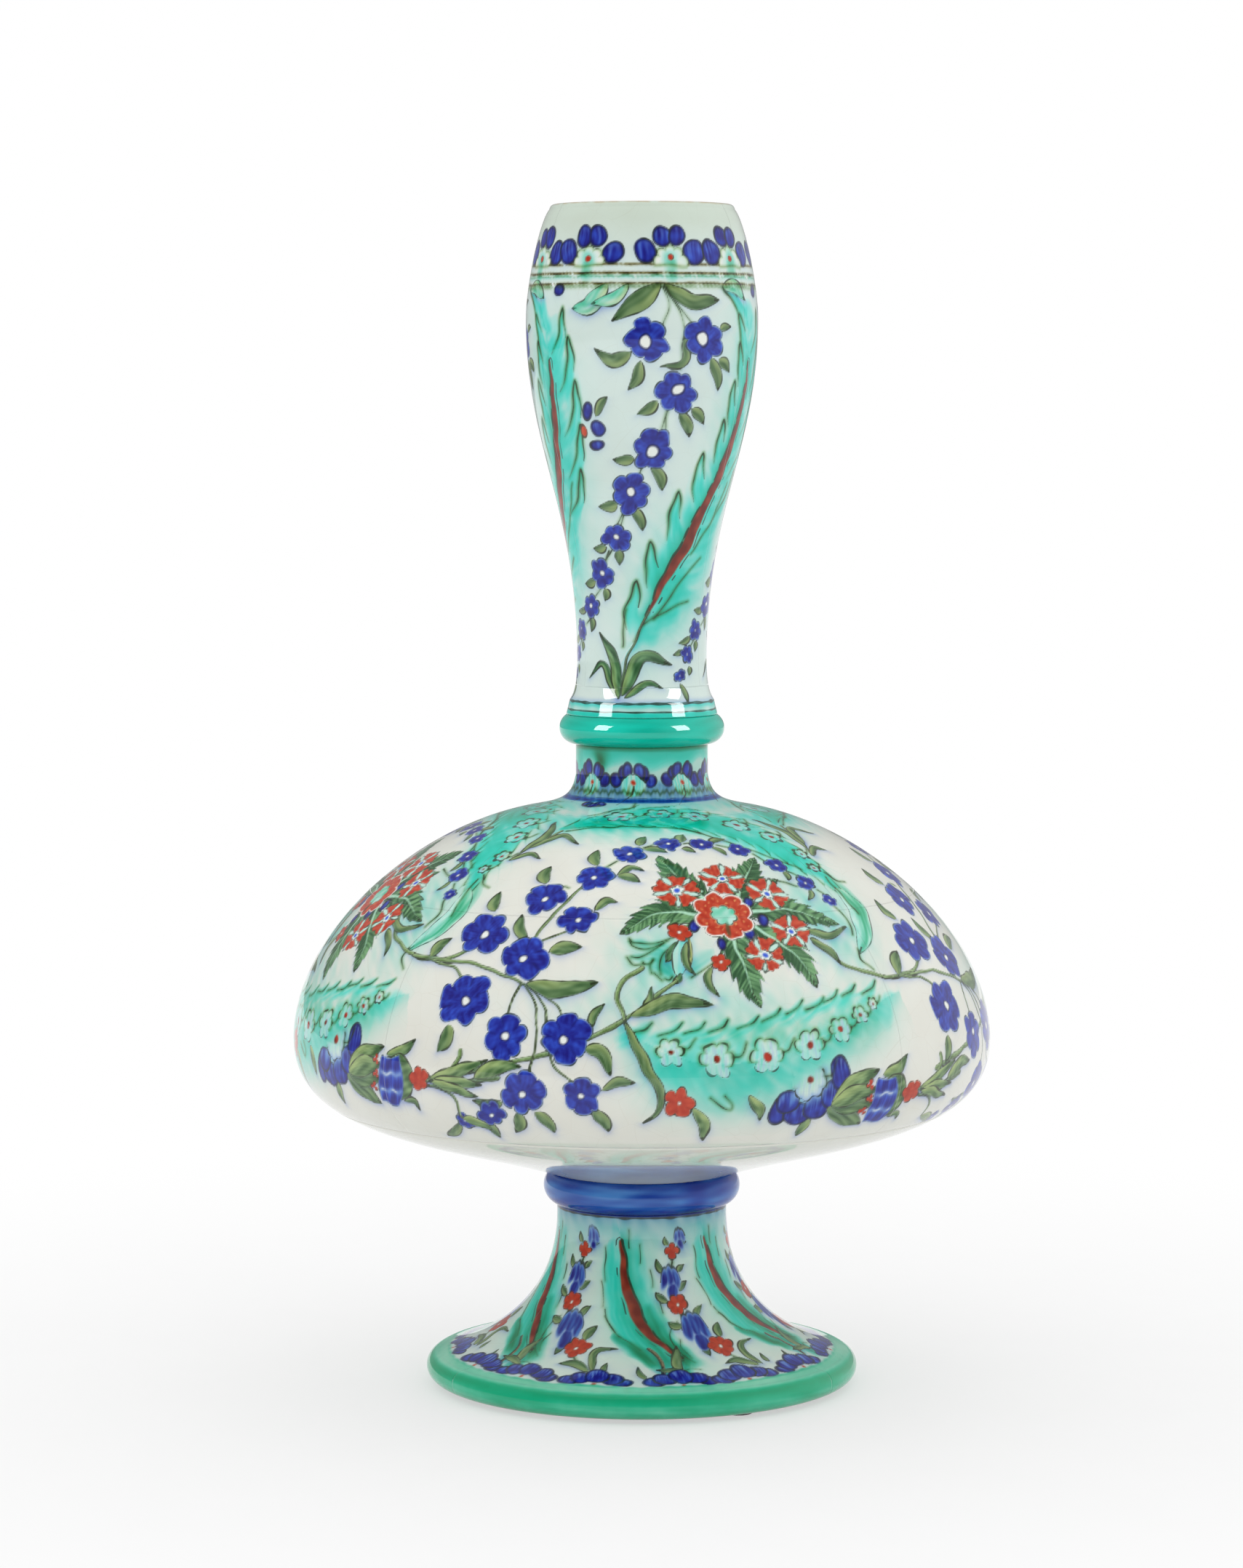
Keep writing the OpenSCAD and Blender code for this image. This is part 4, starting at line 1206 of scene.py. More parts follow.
@dataclass(frozen=True)
class NeckOrnament:
    """Three feathered leaves with hanging sprays between them, and a border under the lip."""

    even: tuple[Spot, ...] = ((0.0, 0.0),) * 3
    border: tuple[float, ...] = (-65, -29, 14.5, 52, 92, 133, 173, 213, 255)

    def paint(self, canvas: Canvas) -> None:
        """Paints the leaves of all copies before the sprays."""
        for layer in (self.leaf, self.spray):
            for _ in canvas.copies(self.even):
                layer(canvas)
        self.bands(canvas)

    def leaf(self, canvas: Canvas) -> None:
        """The turquoise leaf with its red-brown midrib."""
        strew(canvas, Wash, ((20, 62, (14, 22), 0.25), (62, 120, (12, 36), 0.3)))
        spine = [(5, 44), (20, 60), (35, 74), (47, 90), (57, 105), (63, 120), (67, 140), (67, 152)]
        Blade(
            [(-8, 33), *spine, (64, 168), (54, 181)],
            [2, 9, 12, 14, 15, 13, 10, 9, 9, 7, 0],
            [7, 16, 22, 21, 18, 16, 14, 13, 12, 9, 0],
            10, 0.1, 0.72, drawn=False, core=0.3,
        ).paint(canvas)
        strew(canvas, Flame, (
            ([(-4, 36), (-9, 45), (-4, 58)], 8), ([(12, 53), (8, 63), (6, 75)], 8),
            ([(26, 72), (23, 84), (24, 97)], 8.5), ([(43, 90), (38, 101), (38, 113)], 8),
            ([(55, 106), (50, 117), (50, 128)], 7.5), ([(60, 122), (55, 133), (54, 144)], 7),
            ([(63, 139), (59, 149), (57, 160)], 7), ([(64, 154), (59, 164), (55, 172)], 6.5),
            ([(60, 168), (54, 177), (44, 183)], 6), ([(70, 150), (77, 162), (77, 174)], 7),
            ([(74, 134), (81, 147), (81, 162)], 7), ([(72, 114), (82, 128), (84, 144)], 7),
            ([(66, 96), (80, 110), (84, 126)], 7), ([(58, 80), (74, 92), (80, 106)], 6),
        ))
        Midrib(spine, [0.4, 1.7, 2.3, 2.5, 2.3, 1.9, 1.3, 0.4]).paint(canvas)
        strew(canvas, Thread, zip([
            [(10, 42), (30, 56), (52, 68)], [(2, 40), (25, 47), (42, 50)], [(-8, 33), (0, 39), (6, 45)],
            [(40, 70), (58, 84), (70, 100)], [(-18, 30.5), (-17, 36), (-13, 46)],
        ]), half=0.16)

    def spray(self, canvas: Canvas) -> None:
        """The hanging spray, its bud cluster and the tuft at the foot of the leaf."""
        Stem([(-20, 9), (-14, 24), (-6, 34), (6, 45)], 0.7, 0.4, Tone.LEAF_LIGHT, Tone.LEAF).paint(canvas)
        strew(canvas, Leaf, (
            ([(-22, 9), (-37, 23), (-52, 17)], 2.8), ([(-20, 9), (-27, 27), (-40, 36.5)], 4.6),
            ([(-17, 10), (0, 26), (26, 23)], 5.2), ([(-14, 9), (2, 15), (18, 13)], 3.2),
        ), light=Tone.DEEP_LIGHT, dark=Tone.DEEP, bleed=0.4)
        strew(canvas, Leaf, (
            ([(9, 184), (0, 178), (-15, 169)], 7.4), ([(11, 184), (24, 177), (41, 178)], 6.4),
        ), bleed=0.3)
        strew(canvas, Leaf, (
            ([(-18, 184), (-27, 175), (-37, 174.5)], 8), ([(-7, 184), (-14, 178), (-26, 176)], 5),
            ([(44, 183.5), (54, 183), (62, 178)], 6),
        ), light=Tone.MINT, dark=Tone.JADE, warm=0.5)
        strew(canvas, Thread, zip([
            [(10, 183), (13, 176), (10, 167)], [(12, 183), (18, 174), (25, 168)],
            [(11, 183), (20, 168), (20, 158), (19, 149)], [(13, 132), (12, 124)], [(14, 132), (10, 124)],
            [(0, 107), (-2, 104)], [(-12, 88), (-15, 83)], [(-13, 88), (-18, 83)], [(-24, 71), (-29, 67)],
            [(-26, 71), (-30, 66)], [(-36, 55), (-42, 52)], [(-50, 42), (-57, 39)], [(-68, 33), (-75, 29)],
        ]), half=0.24, bleed=0.3)
        strew(canvas, Leaf, (
            ([(-6, 156.5), (-15, 152), (-24, 157.5)], 5.5), ([(-1, 152), (-6.5, 140)], 5),
            ([(36, 153), (42, 140)], 5.4), ([(41, 153), (49, 148)], 4.6), ([(8, 135.5), (-3, 130)], 5),
            ([(20, 130.5), (27, 120)], 5),
            ([(27, 132), (35, 126)], 4.6), ([(-5, 111.5), (-17, 111)], 4.6), ([(6, 107.5), (13, 97.5)], 5),
            ([(-17, 91.5), (-30, 90)], 4.8), ([(-6, 89), (0, 80.5)], 4.6), ([(-28, 72.5), (-40, 72)], 3.6),
            ([(-20, 71), (-18, 65.5)], 3.4), ([(-42, 58), (-54, 57)], 4), ([(-32, 55), (-32.5, 49.5)], 3.2),
            ([(-56, 46), (-69, 45)], 3), ([(-49, 42.5), (-49.5, 37)], 3), ([(-73, 34.5), (-86, 32)], 2.8),
            ([(-66, 32.5), (-65.5, 28.5)], 2.8), ([(-83, 29), (-92, 27)], 2.4),
            ([(-75, 22), (-73.5, 18)], 2.4), ([(-84, 14), (-81, 6.5)], 2.6), ([(41, 165), (48, 166.5)], 3),
            ([(-25, 129), (-18, 137.5)], 3.2),
            ([(22, 164), (21, 152), (9, 149)], 3),
        ), bow=0.1, bleed=0.35)
        strew(canvas, Blossom, (
            (2.5, 160.5, 18.2), (32, 161, 19.4), (18, 139.5, 18.8), (6, 115, 18),
        ), heart=0.27)
        strew(canvas, Blossom, (
            (-7, 96, 17), (-19.5, 77, 13), (-34, 61.5, 12.4), (-48, 47.5, 10.6),
        ), heart=0.2)
        strew(canvas, Blossom, ((-66, 37, 8.8), (-77, 27, 7.4), (-84, 18, 6)), heart=0.1)
        PetalBunch(
            -27, 124, ((-2.6, 7.2, 2.4, 3.6), (1.4, 0.0, 3.0, 3.2), (0.6, -7.2, 3.2, 2.2))
        ).paint(canvas)
        for w in canvas.windows(-34, 123, 6.0):
            bud = oval(w.u, w.v, (0.0, 0.0), (1.5, 3.0), 8.0)
            w.shape(bud, Tone.RED_LIGHT, Tone.RED, 0.4 + 0.4 * w.hand, 0.7 * HAIR)
        PetalBunch(-46, 182, ((0.0, 0.0, 3.0, 2.6),)).paint(canvas)

    def bands(self, canvas: Canvas) -> None:
        """The ruled lines, the turquoise skirt and the border of half flowers."""
        w = canvas.belt(-3.0, 12.0)
        w.stain(Tone.TURQUOISE, 0.85 * spread(w.v - 2.0, 1.2) + 0.35 * hump(w.v - 5.2, 1.0))
        w.stain(Tone.AQUA, 0.25 * spread(w.v - 6.2, 1.0) * (1.0 + 0.4 * w.hand))
        w.stain(Tone.HALO, 0.3 * hump(w.v - 6.8, 1.2))
        w.line(w.v - 2.4, 0.9 * LINE)
        w.line(w.v - 6.0, 1.2 * LINE)
        w = canvas.belt(180.0, 194.0)
        grain = 1.0 + 0.4 * w.hand + 0.3 * ripple(w.u, w.v, 1.8, 43)
        w.stain(Tone.LEAF_LIGHT, 0.5 * hump(w.v - 183.2, 1.0) * grain)
        w.stain(Tone.AQUA, 0.3 * hump(w.v - 187.2 - 0.2 * w.hand, 0.9) * grain)
        w.stain(Tone.LEAF_LIGHT, 0.4 * hump(w.v - 187.4 - 0.2 * w.hand, 0.4) * grain)
        for rise, depth, half in ((184.4, 1.0, 0.42), (188.7, 1.2, 0.46), (192.3, 0.8, 0.5)):
            w.stain(Tone.UMBER, depth * hump(w.v - rise, half) * grain)
        w = canvas.belt(190.0, 222.0)
        w.stain(Tone.UMBER, 0.07 * spread(203.0 - w.v, 18.0))
        for turn in self.border:
            PetalBunch(turn, 195.0, (
                (-10.6, 2.8, 4.6, 5.4), (10.6, 2.4, 4.5, 5.2), (-3.0, 9.2, 3.7, 4.3), (3.0, 9.4, 3.7, 4.4),
            )).paint(canvas)
            for v in canvas.windows(turn, 195.0, 13.0):
                edge, rho, _, _ = petalled(v.u, v.v + 2.4, 7.6, 9, 0.17, 0.28)
                cup = np.maximum(edge, -3.2 - v.v)
                v.ink[cup < 0.0] = FAR
                v.fill(cup, Tone.PALE, Tone.MINT, 0.1 + 0.8 * rho / 7.6 + 0.4 * v.hand, 1.0)
                v.stain(Tone.AQUA, 0.6 * spread(cup) * hump(np.hypot(v.u, v.v), 2.8))
                v.stain(Tone.OLIVE_LIGHT, 0.5 * hump(cup, 0.8))
                v.line(np.where(v.v > -2.6, edge, FAR), 0.4 * HAIR)
                drip = oval(v.u, v.v, (0.0, -4.6), (2.2, 4.6))
                v.stain(Tone.JADE, 0.45 * spread(drip, 2.4) * (v.v < -1.0) * (1.0 + 0.3 * v.hand))
                v.shape(np.hypot(v.u, v.v) - 1.3, Tone.RED_LIGHT, Tone.RED, 0.3 + 0.4 * v.hand, 0.6 * HAIR)


@dataclass(frozen=True)
class FootOrnament:
    """Six feathered leaves on the trumpet, flower columns between them, a petal border and a green rim."""

    even: tuple[Spot, ...] = ((0.0, 0.0),) * 6
    strength: float = 0.72
    border: int = 15

    def paint(self, canvas: Canvas) -> None:
        """Paints the leaves of all copies, then the columns, the border and the rim."""
        w = canvas.belt(40.0, 90.0)
        w.stain(Tone.SKY, 0.2 * spread(80.0 - w.v, 12.0))
        w.stain(Tone.AQUA, 0.2 * spread(74.0 - w.v, 16.0) * (0.9 + 0.2 * w.hand))
        for layer in (self.leaf, self.column):
            for _ in canvas.copies(self.even):
                layer(canvas)
        self.rim(canvas)

    def leaf(self, canvas: Canvas) -> None:
        """A leaf that turns from turquoise to deep green towards its root, with a red-brown midrib."""
        spine = [(-14, 79), (-12, 68), (-8, 57), (-3, 47), (3, 38.5), (8.5, 31), (14, 24)]
        Wash(-6, 66, (8, 14), 0.3).paint(canvas)
        Blade(
            [(12, 14), (14, 22), *spine[-2::-1], (-16, 85)],
            [3, 8, 10, 13, 13, 11.5, 10, 8, 6],
            [4, 7, 9, 10, 11, 11, 10, 9, 7],
            9, 0.1, 0.28, drawn=False, core=0.3,
        ).paint(canvas)
        for route, wide, depth, tone in (
            ([(6, 24), (-7, 40), (-16, 58), (-20, 78)], 12, 0.6, Tone.TURQUOISE),
            ([(-2, 32), (-12, 46), (-19, 62), (-22, 76)], 7, 0.4, Tone.TURQUOISE),
            ([(16, 24), (7, 42), (0, 58), (-4, 80)], 9, 0.4, Tone.TURQUOISE),
            ([(14, 32), (8, 48), (5, 64)], 6, 0.4, Tone.AQUA),
            ([(14, 16), (3, 31), (-8, 46), (-14, 64)], 5.5, 0.25, Tone.SEA),
            ([(20, 17), (14, 28), (7, 40), (3, 50)], 6, 1.0, Tone.SEA),
            ([(9, 12), (6, 20), (-2, 28), (-12, 36)], 6, 1.2, Tone.SEA),
            ([(6, 18), (0, 27), (-5, 33)], 4, 0.7, Tone.DEEP_LIGHT),
            ([(13, 6), (14, 14), (15, 24)], 7, 0.9, Tone.SEA),
            ([(18, 16), (13, 26), (9, 34)], 3.4, 0.9, Tone.DEEP_LIGHT),
            ([(16, 12), (9, 24), (2, 36), (-6, 50)], 3.0, 0.8, Tone.SEA),
            ([(22, 16), (18, 26), (12, 38), (8, 52)], 3.0, 0.6, Tone.JADE),
        ):
            Flame(route, wide, self.strength * depth, tone, 0.0, 5.0).paint(canvas)
        Midrib(spine, [0.5, 1.4, 2.2, 2.3, 1.9, 1.3, 0.5]).paint(canvas)
        Stem([(2, 30), (6, 25), (7.5, 19), (7, 13)], 0.7, 1.1, Tone.BUFF_DARK, Tone.DARK).paint(canvas)
        strew(canvas, Thread, zip([
            [(-24.5, 76), (-23.6, 70), (-22.6, 62)], [(-25, 62), (-23, 58), (-21, 50)],
            [(-19.6, 49), (-17, 44), (-12, 38)], [(-18.6, 45.6), (-15, 41), (-10, 36)],
            [(-10.4, 36.6), (-6, 33.6), (-1, 29)], [(17, 44), (13.4, 40), (13, 33), (15, 26), (19, 21)],
            [(17, 34.6), (15.6, 30), (18.4, 24)], [(5.4, 67), (6, 60)], [(9.6, 55), (10.6, 48)],
            [(-9, 84), (-8.6, 76)], [(-1.4, 78), (-1, 70)], [(14.4, 15), (17, 16.6), (20, 16)],
        ]), half=0.22, bleed=0.25)

    def column(self, canvas: Canvas) -> None:
        """Blue bells and red flowers one above the other, with small leaves and grass at the root."""
        strew(canvas, Thread, zip([
            [(-27, 25), (-23, 20), (-18, 16)], [(-40, 49), (-40, 46)], [(-40, 70), (-41, 67)],
        ]), half=0.26)
        strew(canvas, Leaf, (
            ([(-46, 15), (-48, 22), (-46, 31)], 4), ([(-16, 15), (-19, 24), (-17, 29), (-10, 29.5)], 3.4),
            ([(-18, 15), (-24, 19.5), (-30, 18)], 4), ([(-44, 14), (-49, 16.5), (-55, 17)], 3.4),
            ([(-32, 45), (-27.5, 50.5)], 3.4), ([(-41, 41), (-48, 43.5)], 4), ([(-25, 34), (-22, 41)], 4),
            ([(-46, 53), (-52, 57)], 3.2), ([(-38, 57), (-33, 61)], 2.8), ([(-46, 66), (-51, 71)], 2.6),
            ([(-37, 66), (-33, 69)], 2.4), ([(-43, 77), (-46, 81)], 2.2), ([(-36, 76), (-30, 78)], 1.8),
            ([(-35, 30), (-34, 24)], 3), ([(-12, 15), (-13, 21)], 2.4), ([(1, 10), (-1.5, 19)], 2.6),
        ), bow=0.1)
        for turn, rise, size, lean in ((-34.5, 80, 0.62, 8), (-43, 61.5, 1.0, -4), (-35, 38.4, 1.35, 6)):
            lobe, tube = (1.8 * size, 5.2 * size), (2.4 * size, 3.8 * size)
            for w in canvas.windows(turn, rise, 14.0 * size):
                lobes = [
                    oval(w.u, w.v, (k * 2.5 * size, (2.2 - abs(k) * 0.8) * size), lobe, lean + 9 * k)
                    for k in (-1, 0, 1)
                ]
                bell = np.minimum.reduce([*lobes, oval(w.u, w.v, (0.6 * size, -4.4 * size), tube, lean)])
                grain = ripple(1.6 * w.u, 0.3 * w.v, 3.4, int(rise))
                w.halo(bell, 0.5, 1.4)
                w.brush(bell, Tone.BLUE_LIGHT, Tone.COBALT, 0.6 * grain + 0.1 * w.v / size, Tone.SKY)
                w.line(np.where(w.v > 0, bell, FAR), 0.6 * HAIR)
        RedFlower(-40, 74.5, 7.2, 4, 0.0).paint(canvas)
        RedFlower(-41, 51.5, 8.8, 6).paint(canvas)
        RedFlower(-27, 29, 11.4, 7).paint(canvas)

    def rim(self, canvas: Canvas) -> None:
        """The petal border; the green rim with a darker band, a painted top highlight and a painted floor
        reflection; the dark line under the blue bead.
        """
        step = 360.0 / self.border
        for k in range(self.border):
            turn = -14.0 + k * step + (2.0 if k % 3 == 1 else -0.5)
            PetalBunch(turn, 8.0, (
                (-11.6, -0.2, 4.6, 3.2), (11.6, -0.4, 4.6, 3.0), (-6.8, 2.2, 5.0, 3.9), (7.0, 2.0, 5.0, 3.9),
                (0.2, 3.8, 5.2, 4.8),
            ), 0.62).paint(canvas)
            for w in canvas.windows(turn, 5.6, 3.0):
                w.shape(np.hypot(w.u, w.v) - 0.9, Tone.RED_LIGHT, Tone.RED, 0.4 + 0.3 * w.hand, 0.0)
        w = canvas.belt(-30.0, 9.0)
        green = spread(w.v - 4.4 - 0.5 * ripple(w.u, 0.0 * w.v, 9.0, 51), 1.6)
        mottle = ripple(0.4 * w.u, w.v * 2.0, 26.0, 52) + 0.2 * ripple(w.u, w.v, 4.0, 53)
        # Painted highlight: a pale band along the top of the rim's roll.
        painted_top_highlight = 0.75 * hump(np.maximum(np.abs(w.v - 0.6) - 2.0, 0.0), 1.6)
        # Painted reflection of the floor: a pale band low on the rim's face.
        streak = 0.28 * hump(w.v + 10.4, 2.4) * (1.0 + 0.5 * ripple(0.12 * w.u, w.v, 3.0, 54))
        w.ink[green > 0.5] = FAR
        w.over(mixed(Tone.RIM_LIGHT, Tone.RIM_GREEN, 0.04 + 0.1 * mottle + painted_top_highlight + streak), green)
        w.stain(Tone.SEA, 0.16 * hump(w.v + 5.0, 1.8) * (1.0 + 0.4 * mottle))
        w = canvas.belt(76.0, 95.0)
        w.stain(Tone.SKY, 0.6 * fading(88.8 - w.v, 2.2) * (1.0 + 0.3 * w.hand))
        w.over(0.8 * Tone.BLUE_BEAD.rgb, spread(89.0 - w.v, 0.8))
        w.line(w.v - 88.8, LINE)


@dataclass(frozen=True)
class LipOrnament:
    """The worn lip, where the glaze is wiped to the brown clay."""

    start: float = 219.6
    end: float = 222.4

    def paint(self, canvas: Canvas) -> None:
        """Stains the top of the lip in an uneven ring."""
        w = canvas.belt(self.start - 3.0, self.end + 3.0)
        bare = spread(self.start - w.v, 1.0) * spread(w.v - self.end, 1.0)
        w.over(Tone.BUFF.rgb, 0.75 * bare * np.clip(0.75 + 0.5 * w.hand, 0.0, 1.0))


@dataclass(frozen=True)
class BeadOrnament:
    """Streaks of a bead dipped in coloured glaze, with a painted highlight band about its middle, darker
    towards its bottom edge.
    """

    dark: Tone
    light: Tone
    # Rise of the painted highlight band, and of the dark patch.
    middle: float
    patch: float

    def paint(self, canvas: Canvas) -> None:
        """Mixes the two tones by streaks along the bead and a painted highlight band, and darkens its bottom
        edge and one patch.
        """
        w = canvas.belt(canvas.rise[0] - 1.0, canvas.rise[-1] + 1.0)
        streak = 0.6 * ripple(w.u * 0.12, w.v, 3.2, 61) + 0.7 * ripple(0.4 * w.u, w.v, 12.0, 62)
        # The bell about the middle is a painted highlight band.
        shade = 0.28 + 0.3 * streak + 0.35 * hump(w.v - self.middle, 4.0)
        w.over(mixed(self.light, self.dark, shade), np.ones(shade.shape))
        # Darker towards the bottom edge.
        w.stain(self.dark, 0.6 * spread(w.v - canvas.rise[0] - 3.0, 4.0))
        for v in canvas.windows(self.patch, self.middle, 12.0):
            v.stain(self.dark, 0.4 * hump(v.u, 6.0))


class Nodes:
    """A node tree in the making, where a socket takes a link or a plain value alike."""

    def __init__(self, tree: bpy.types.NodeTree) -> None:
        """Keeps the tree that the nodes go into."""
        self.tree = tree

    def feed(self, node: bpy.types.Node, socket: str | int, value: object) -> None:
        """Links an output to a socket, or sets the socket to a plain value."""
        if isinstance(value, bpy.types.NodeSocket):
            self.tree.links.new(value, node.inputs[socket])
        else:
            node.inputs[socket].default_value = value

    def add(self, kind: str, sockets: dict | None = None, **options: object) -> bpy.types.Node:
        """A new node with its options set and its sockets fed.

        Args:
            kind: What the node is, without the words that all shader nodes begin with.
            sockets: Link or value for each socket, by name or number.
            options: Settings of the node itself.

        Returns:
            The node.
        """
        node = self.tree.nodes.new(f"ShaderNode{kind}")
        for name, value in options.items():
            setattr(node, name, value)
        for socket, value in (sockets or {}).items():
            self.feed(node, socket, value)
        return node

    def ramp(self, value: object, low: float, high: float, first: float, last: float) -> object:
        """Carries low to first and high to last, smoothly and no further."""
        sockets = {"Value": value, "From Min": low, "From Max": high, "To Min": first, "To Max": last}
        return self.add("MapRange", sockets, interpolation_type="SMOOTHSTEP").outputs["Result"]

    def combine(self, operation: str, first: object, second: object) -> object:
        """One value worked out from two."""
        return self.add("Math", {0: first, 1: second}, operation=operation).outputs[0]


class Recipe(Nodes):
    """One node material in the making."""

    def __init__(self, name: str) -> None:
        """Starts a material with a principled shader."""
        self.material = bpy.data.materials.new(name)
        self.material.use_nodes = True
        super().__init__(self.material.node_tree)
        self.shader = self.tree.nodes["Principled BSDF"]

    def attribute(self, name: str, output: str) -> object:
        """A value that the mesh carries at its points."""
        return self.add("Attribute", attribute_name=name).outputs[output]

    def places(self) -> object:
        """Object coordinates."""
        return self.add("TexCoord").outputs["Object"]

    def noise(self, scale: float, detail: float = 3.0, stretch: tuple[float, ...] | None = None) -> object:
        """Cloudy noise of so many waves a metre, drawn out along an axis where a stretch is given."""
        place = self.places()
        if stretch:
            place = self.add("Mapping", {"Vector": place, "Scale": stretch}).outputs["Vector"]
        return self.add("TexNoise", {"Vector": place, "Scale": scale, "Detail": detail}).outputs["Fac"]

    def cracks(self, scale: float) -> object:
        """Distance from the edge of random cells, so many a metre."""
        sockets = {"Vector": self.places(), "Scale": scale}
        return self.add("TexVoronoi", sockets, feature="DISTANCE_TO_EDGE").outputs["Distance"]

    def blend(self, share: object, first: object, second: object, kind: str = "MIX") -> object:
        """Mixes two colours by a share."""
        return self.add("Mix", {0: share, 6: first, 7: second}, data_type="RGBA", blend_type=kind).outputs[2]

    def bump(self, height: object, strength: float, depth: float) -> None:
        """Lets a height, in metres at full strength, tilt the surface."""
        node = self.add("Bump", {"Height": height, "Strength": strength, "Distance": depth})
        self.feed(self.shader, "Normal", node.outputs["Normal"])

    def finish(self, colour: object, rough: object) -> bpy.types.Material:
        """Feeds colour and roughness to the shader and hands over the material."""
        self.feed(self.shader, "Base Color", colour)
        self.feed(self.shader, "Roughness", rough)
        return self.material


@dataclass(frozen=True)
class PaintedGlaze:
    """Clear glossy glaze over the painted colours and brush lines of a coat, finely crackled."""

    name: str
    crackle: float = 0.1
    line_soft: Spot = (0.2, -0.14)
    line_strength: float = 0.9

    def material(self) -> bpy.types.Material:
        """Mixes ink over paint where the ink's distance says so, then mottles and crackles the sum."""
        recipe = Recipe(self.name)
        ink = recipe.ramp(recipe.attribute(INK, "Fac"), *self.line_soft, 0.0, self.line_strength)
        fade = recipe.ramp(recipe.noise(160.0), 0.25, 0.6, 0.7, 1.0)
        drawn = recipe.combine("MULTIPLY", ink, fade)
        colour = recipe.blend(drawn, recipe.attribute(PAINT, "Color"), Tone.DARK.linear)
        mottle = recipe.ramp(recipe.noise(45.0, 4.0), 0.3, 0.7, 0.0, 0.06)
        colour = recipe.blend(mottle, colour, Tone.BUFF.linear, "MULTIPLY")
        crack = recipe.ramp(recipe.cracks(85.0), 0.0, 0.012, self.crackle, 0.0)
        colour = recipe.blend(crack, colour, Tone.BUFF.linear, "MULTIPLY")
        recipe.feed(recipe.shader, "IOR", 1.5)
        recipe.bump(recipe.noise(70.0, 2.0), 0.06, 0.0006)
        return recipe.finish(colour, recipe.ramp(recipe.noise(110.0), 0.3, 0.7, 0.02, 0.05))


@dataclass(frozen=True)
class InsideGlaze:
    """Plain glaze inside the walls, with throwing rings and faint stains."""

    name: str
    tone: Tone

    def material(self) -> bpy.types.Material:
        """Draws noise out round the axis for the throwing rings."""
        recipe = Recipe(self.name)
        rings = recipe.noise(30.0, 2.0, (0.3, 0.3, 8.0))
        stain = recipe.ramp(recipe.noise(24.0, 5.0), 0.45, 0.75, 0.0, 0.35)
        colour = recipe.blend(stain, self.tone.linear, Tone.BUFF.linear, "MULTIPLY")
        recipe.feed(recipe.shader, "IOR", 1.5)
        recipe.bump(rings, 0.3, 0.001)
        return recipe.finish(colour, recipe.ramp(recipe.noise(90.0), 0.3, 0.7, 0.1, 0.22))


@dataclass(frozen=True)
class BareSlip:
    """Matt fired slip with brush marks and pits."""

    name: str

    def material(self) -> bpy.types.Material:
        """Mixes two buffs by cloudy noise and roughens the surface with fine grain."""
        recipe = Recipe(self.name)
        colour = recipe.blend(recipe.noise(60.0, 5.0), Tone.BUFF.linear, Tone.BUFF_DARK.linear)
        recipe.bump(recipe.noise(900.0, 4.0), 0.5, 0.0005)
        return recipe.finish(colour, recipe.ramp(recipe.noise(200.0), 0.3, 0.7, 0.75, 0.95))


@dataclass(frozen=True)
class PressedFelt:
    """Dark felt of pressed fibres."""

    name: str

    def material(self) -> bpy.types.Material:
        """Mixes two dark tones by drawn-out fibres."""
        recipe = Recipe(self.name)
        fibres = recipe.noise(2200.0, 3.0, (1.0, 0.35, 1.0))
        share = recipe.ramp(fibres, 0.35, 0.7, 0.0, 1.0)
        colour = recipe.blend(share, Tone.FELT.linear, Tone.FELT_LIGHT.linear)
        recipe.feed(recipe.shader, "Sheen Weight", 0.4)
        recipe.bump(fibres, 0.8, 0.0004)
        return recipe.finish(colour, recipe.ramp(recipe.noise(500.0), 0.3, 0.7, 0.88, 1.0))


def put_mesh(name: str, points: Array, faces: list[Array], smooth: list[bool]) -> bpy.types.Object:
    """Makes an object from points and groups of faces that each have one number of corners.

    Args:
        name: Name of the piece.
        points: Places in metres, one row each.
        faces: Corner numbers, one array for each group.
        smooth: Whether each group is shaded smooth.

    Returns:
        The object, in the scene.
    """
    corners = np.concatenate([f.ravel() for f in faces]).astype(np.int32)
    sizes = np.concatenate([np.full(len(f), f.shape[1]) for f in faces])
    soft = np.concatenate([np.full(len(f), s) for f, s in zip(faces, smooth)])
    mesh = bpy.data.meshes.new(name)
    mesh.vertices.add(len(points))
    mesh.vertices.foreach_set("co", points.astype(np.float32).ravel())
    mesh.loops.add(len(corners))
    mesh.loops.foreach_set("vertex_index", corners)
    mesh.polygons.add(len(sizes))
    mesh.polygons.foreach_set("loop_start", (np.cumsum(sizes) - sizes).astype(np.int32))
    mesh.polygons.foreach_set("use_smooth", soft)
    mesh.update(calc_edges=True)
    piece = bpy.data.objects.new(name, mesh)
    bpy.context.scene.collection.objects.link(piece)
    return piece


def quads(rows: int, columns: int) -> tuple[Array, Array]:
    """Rows and columns of the corners of a grid's faces, once round each face."""
    i, j = np.indices((rows, columns)).reshape(2, -1, 1)
    return i + np.array([0, 0, 1, 1]), j + np.array([0, 1, 1, 0])


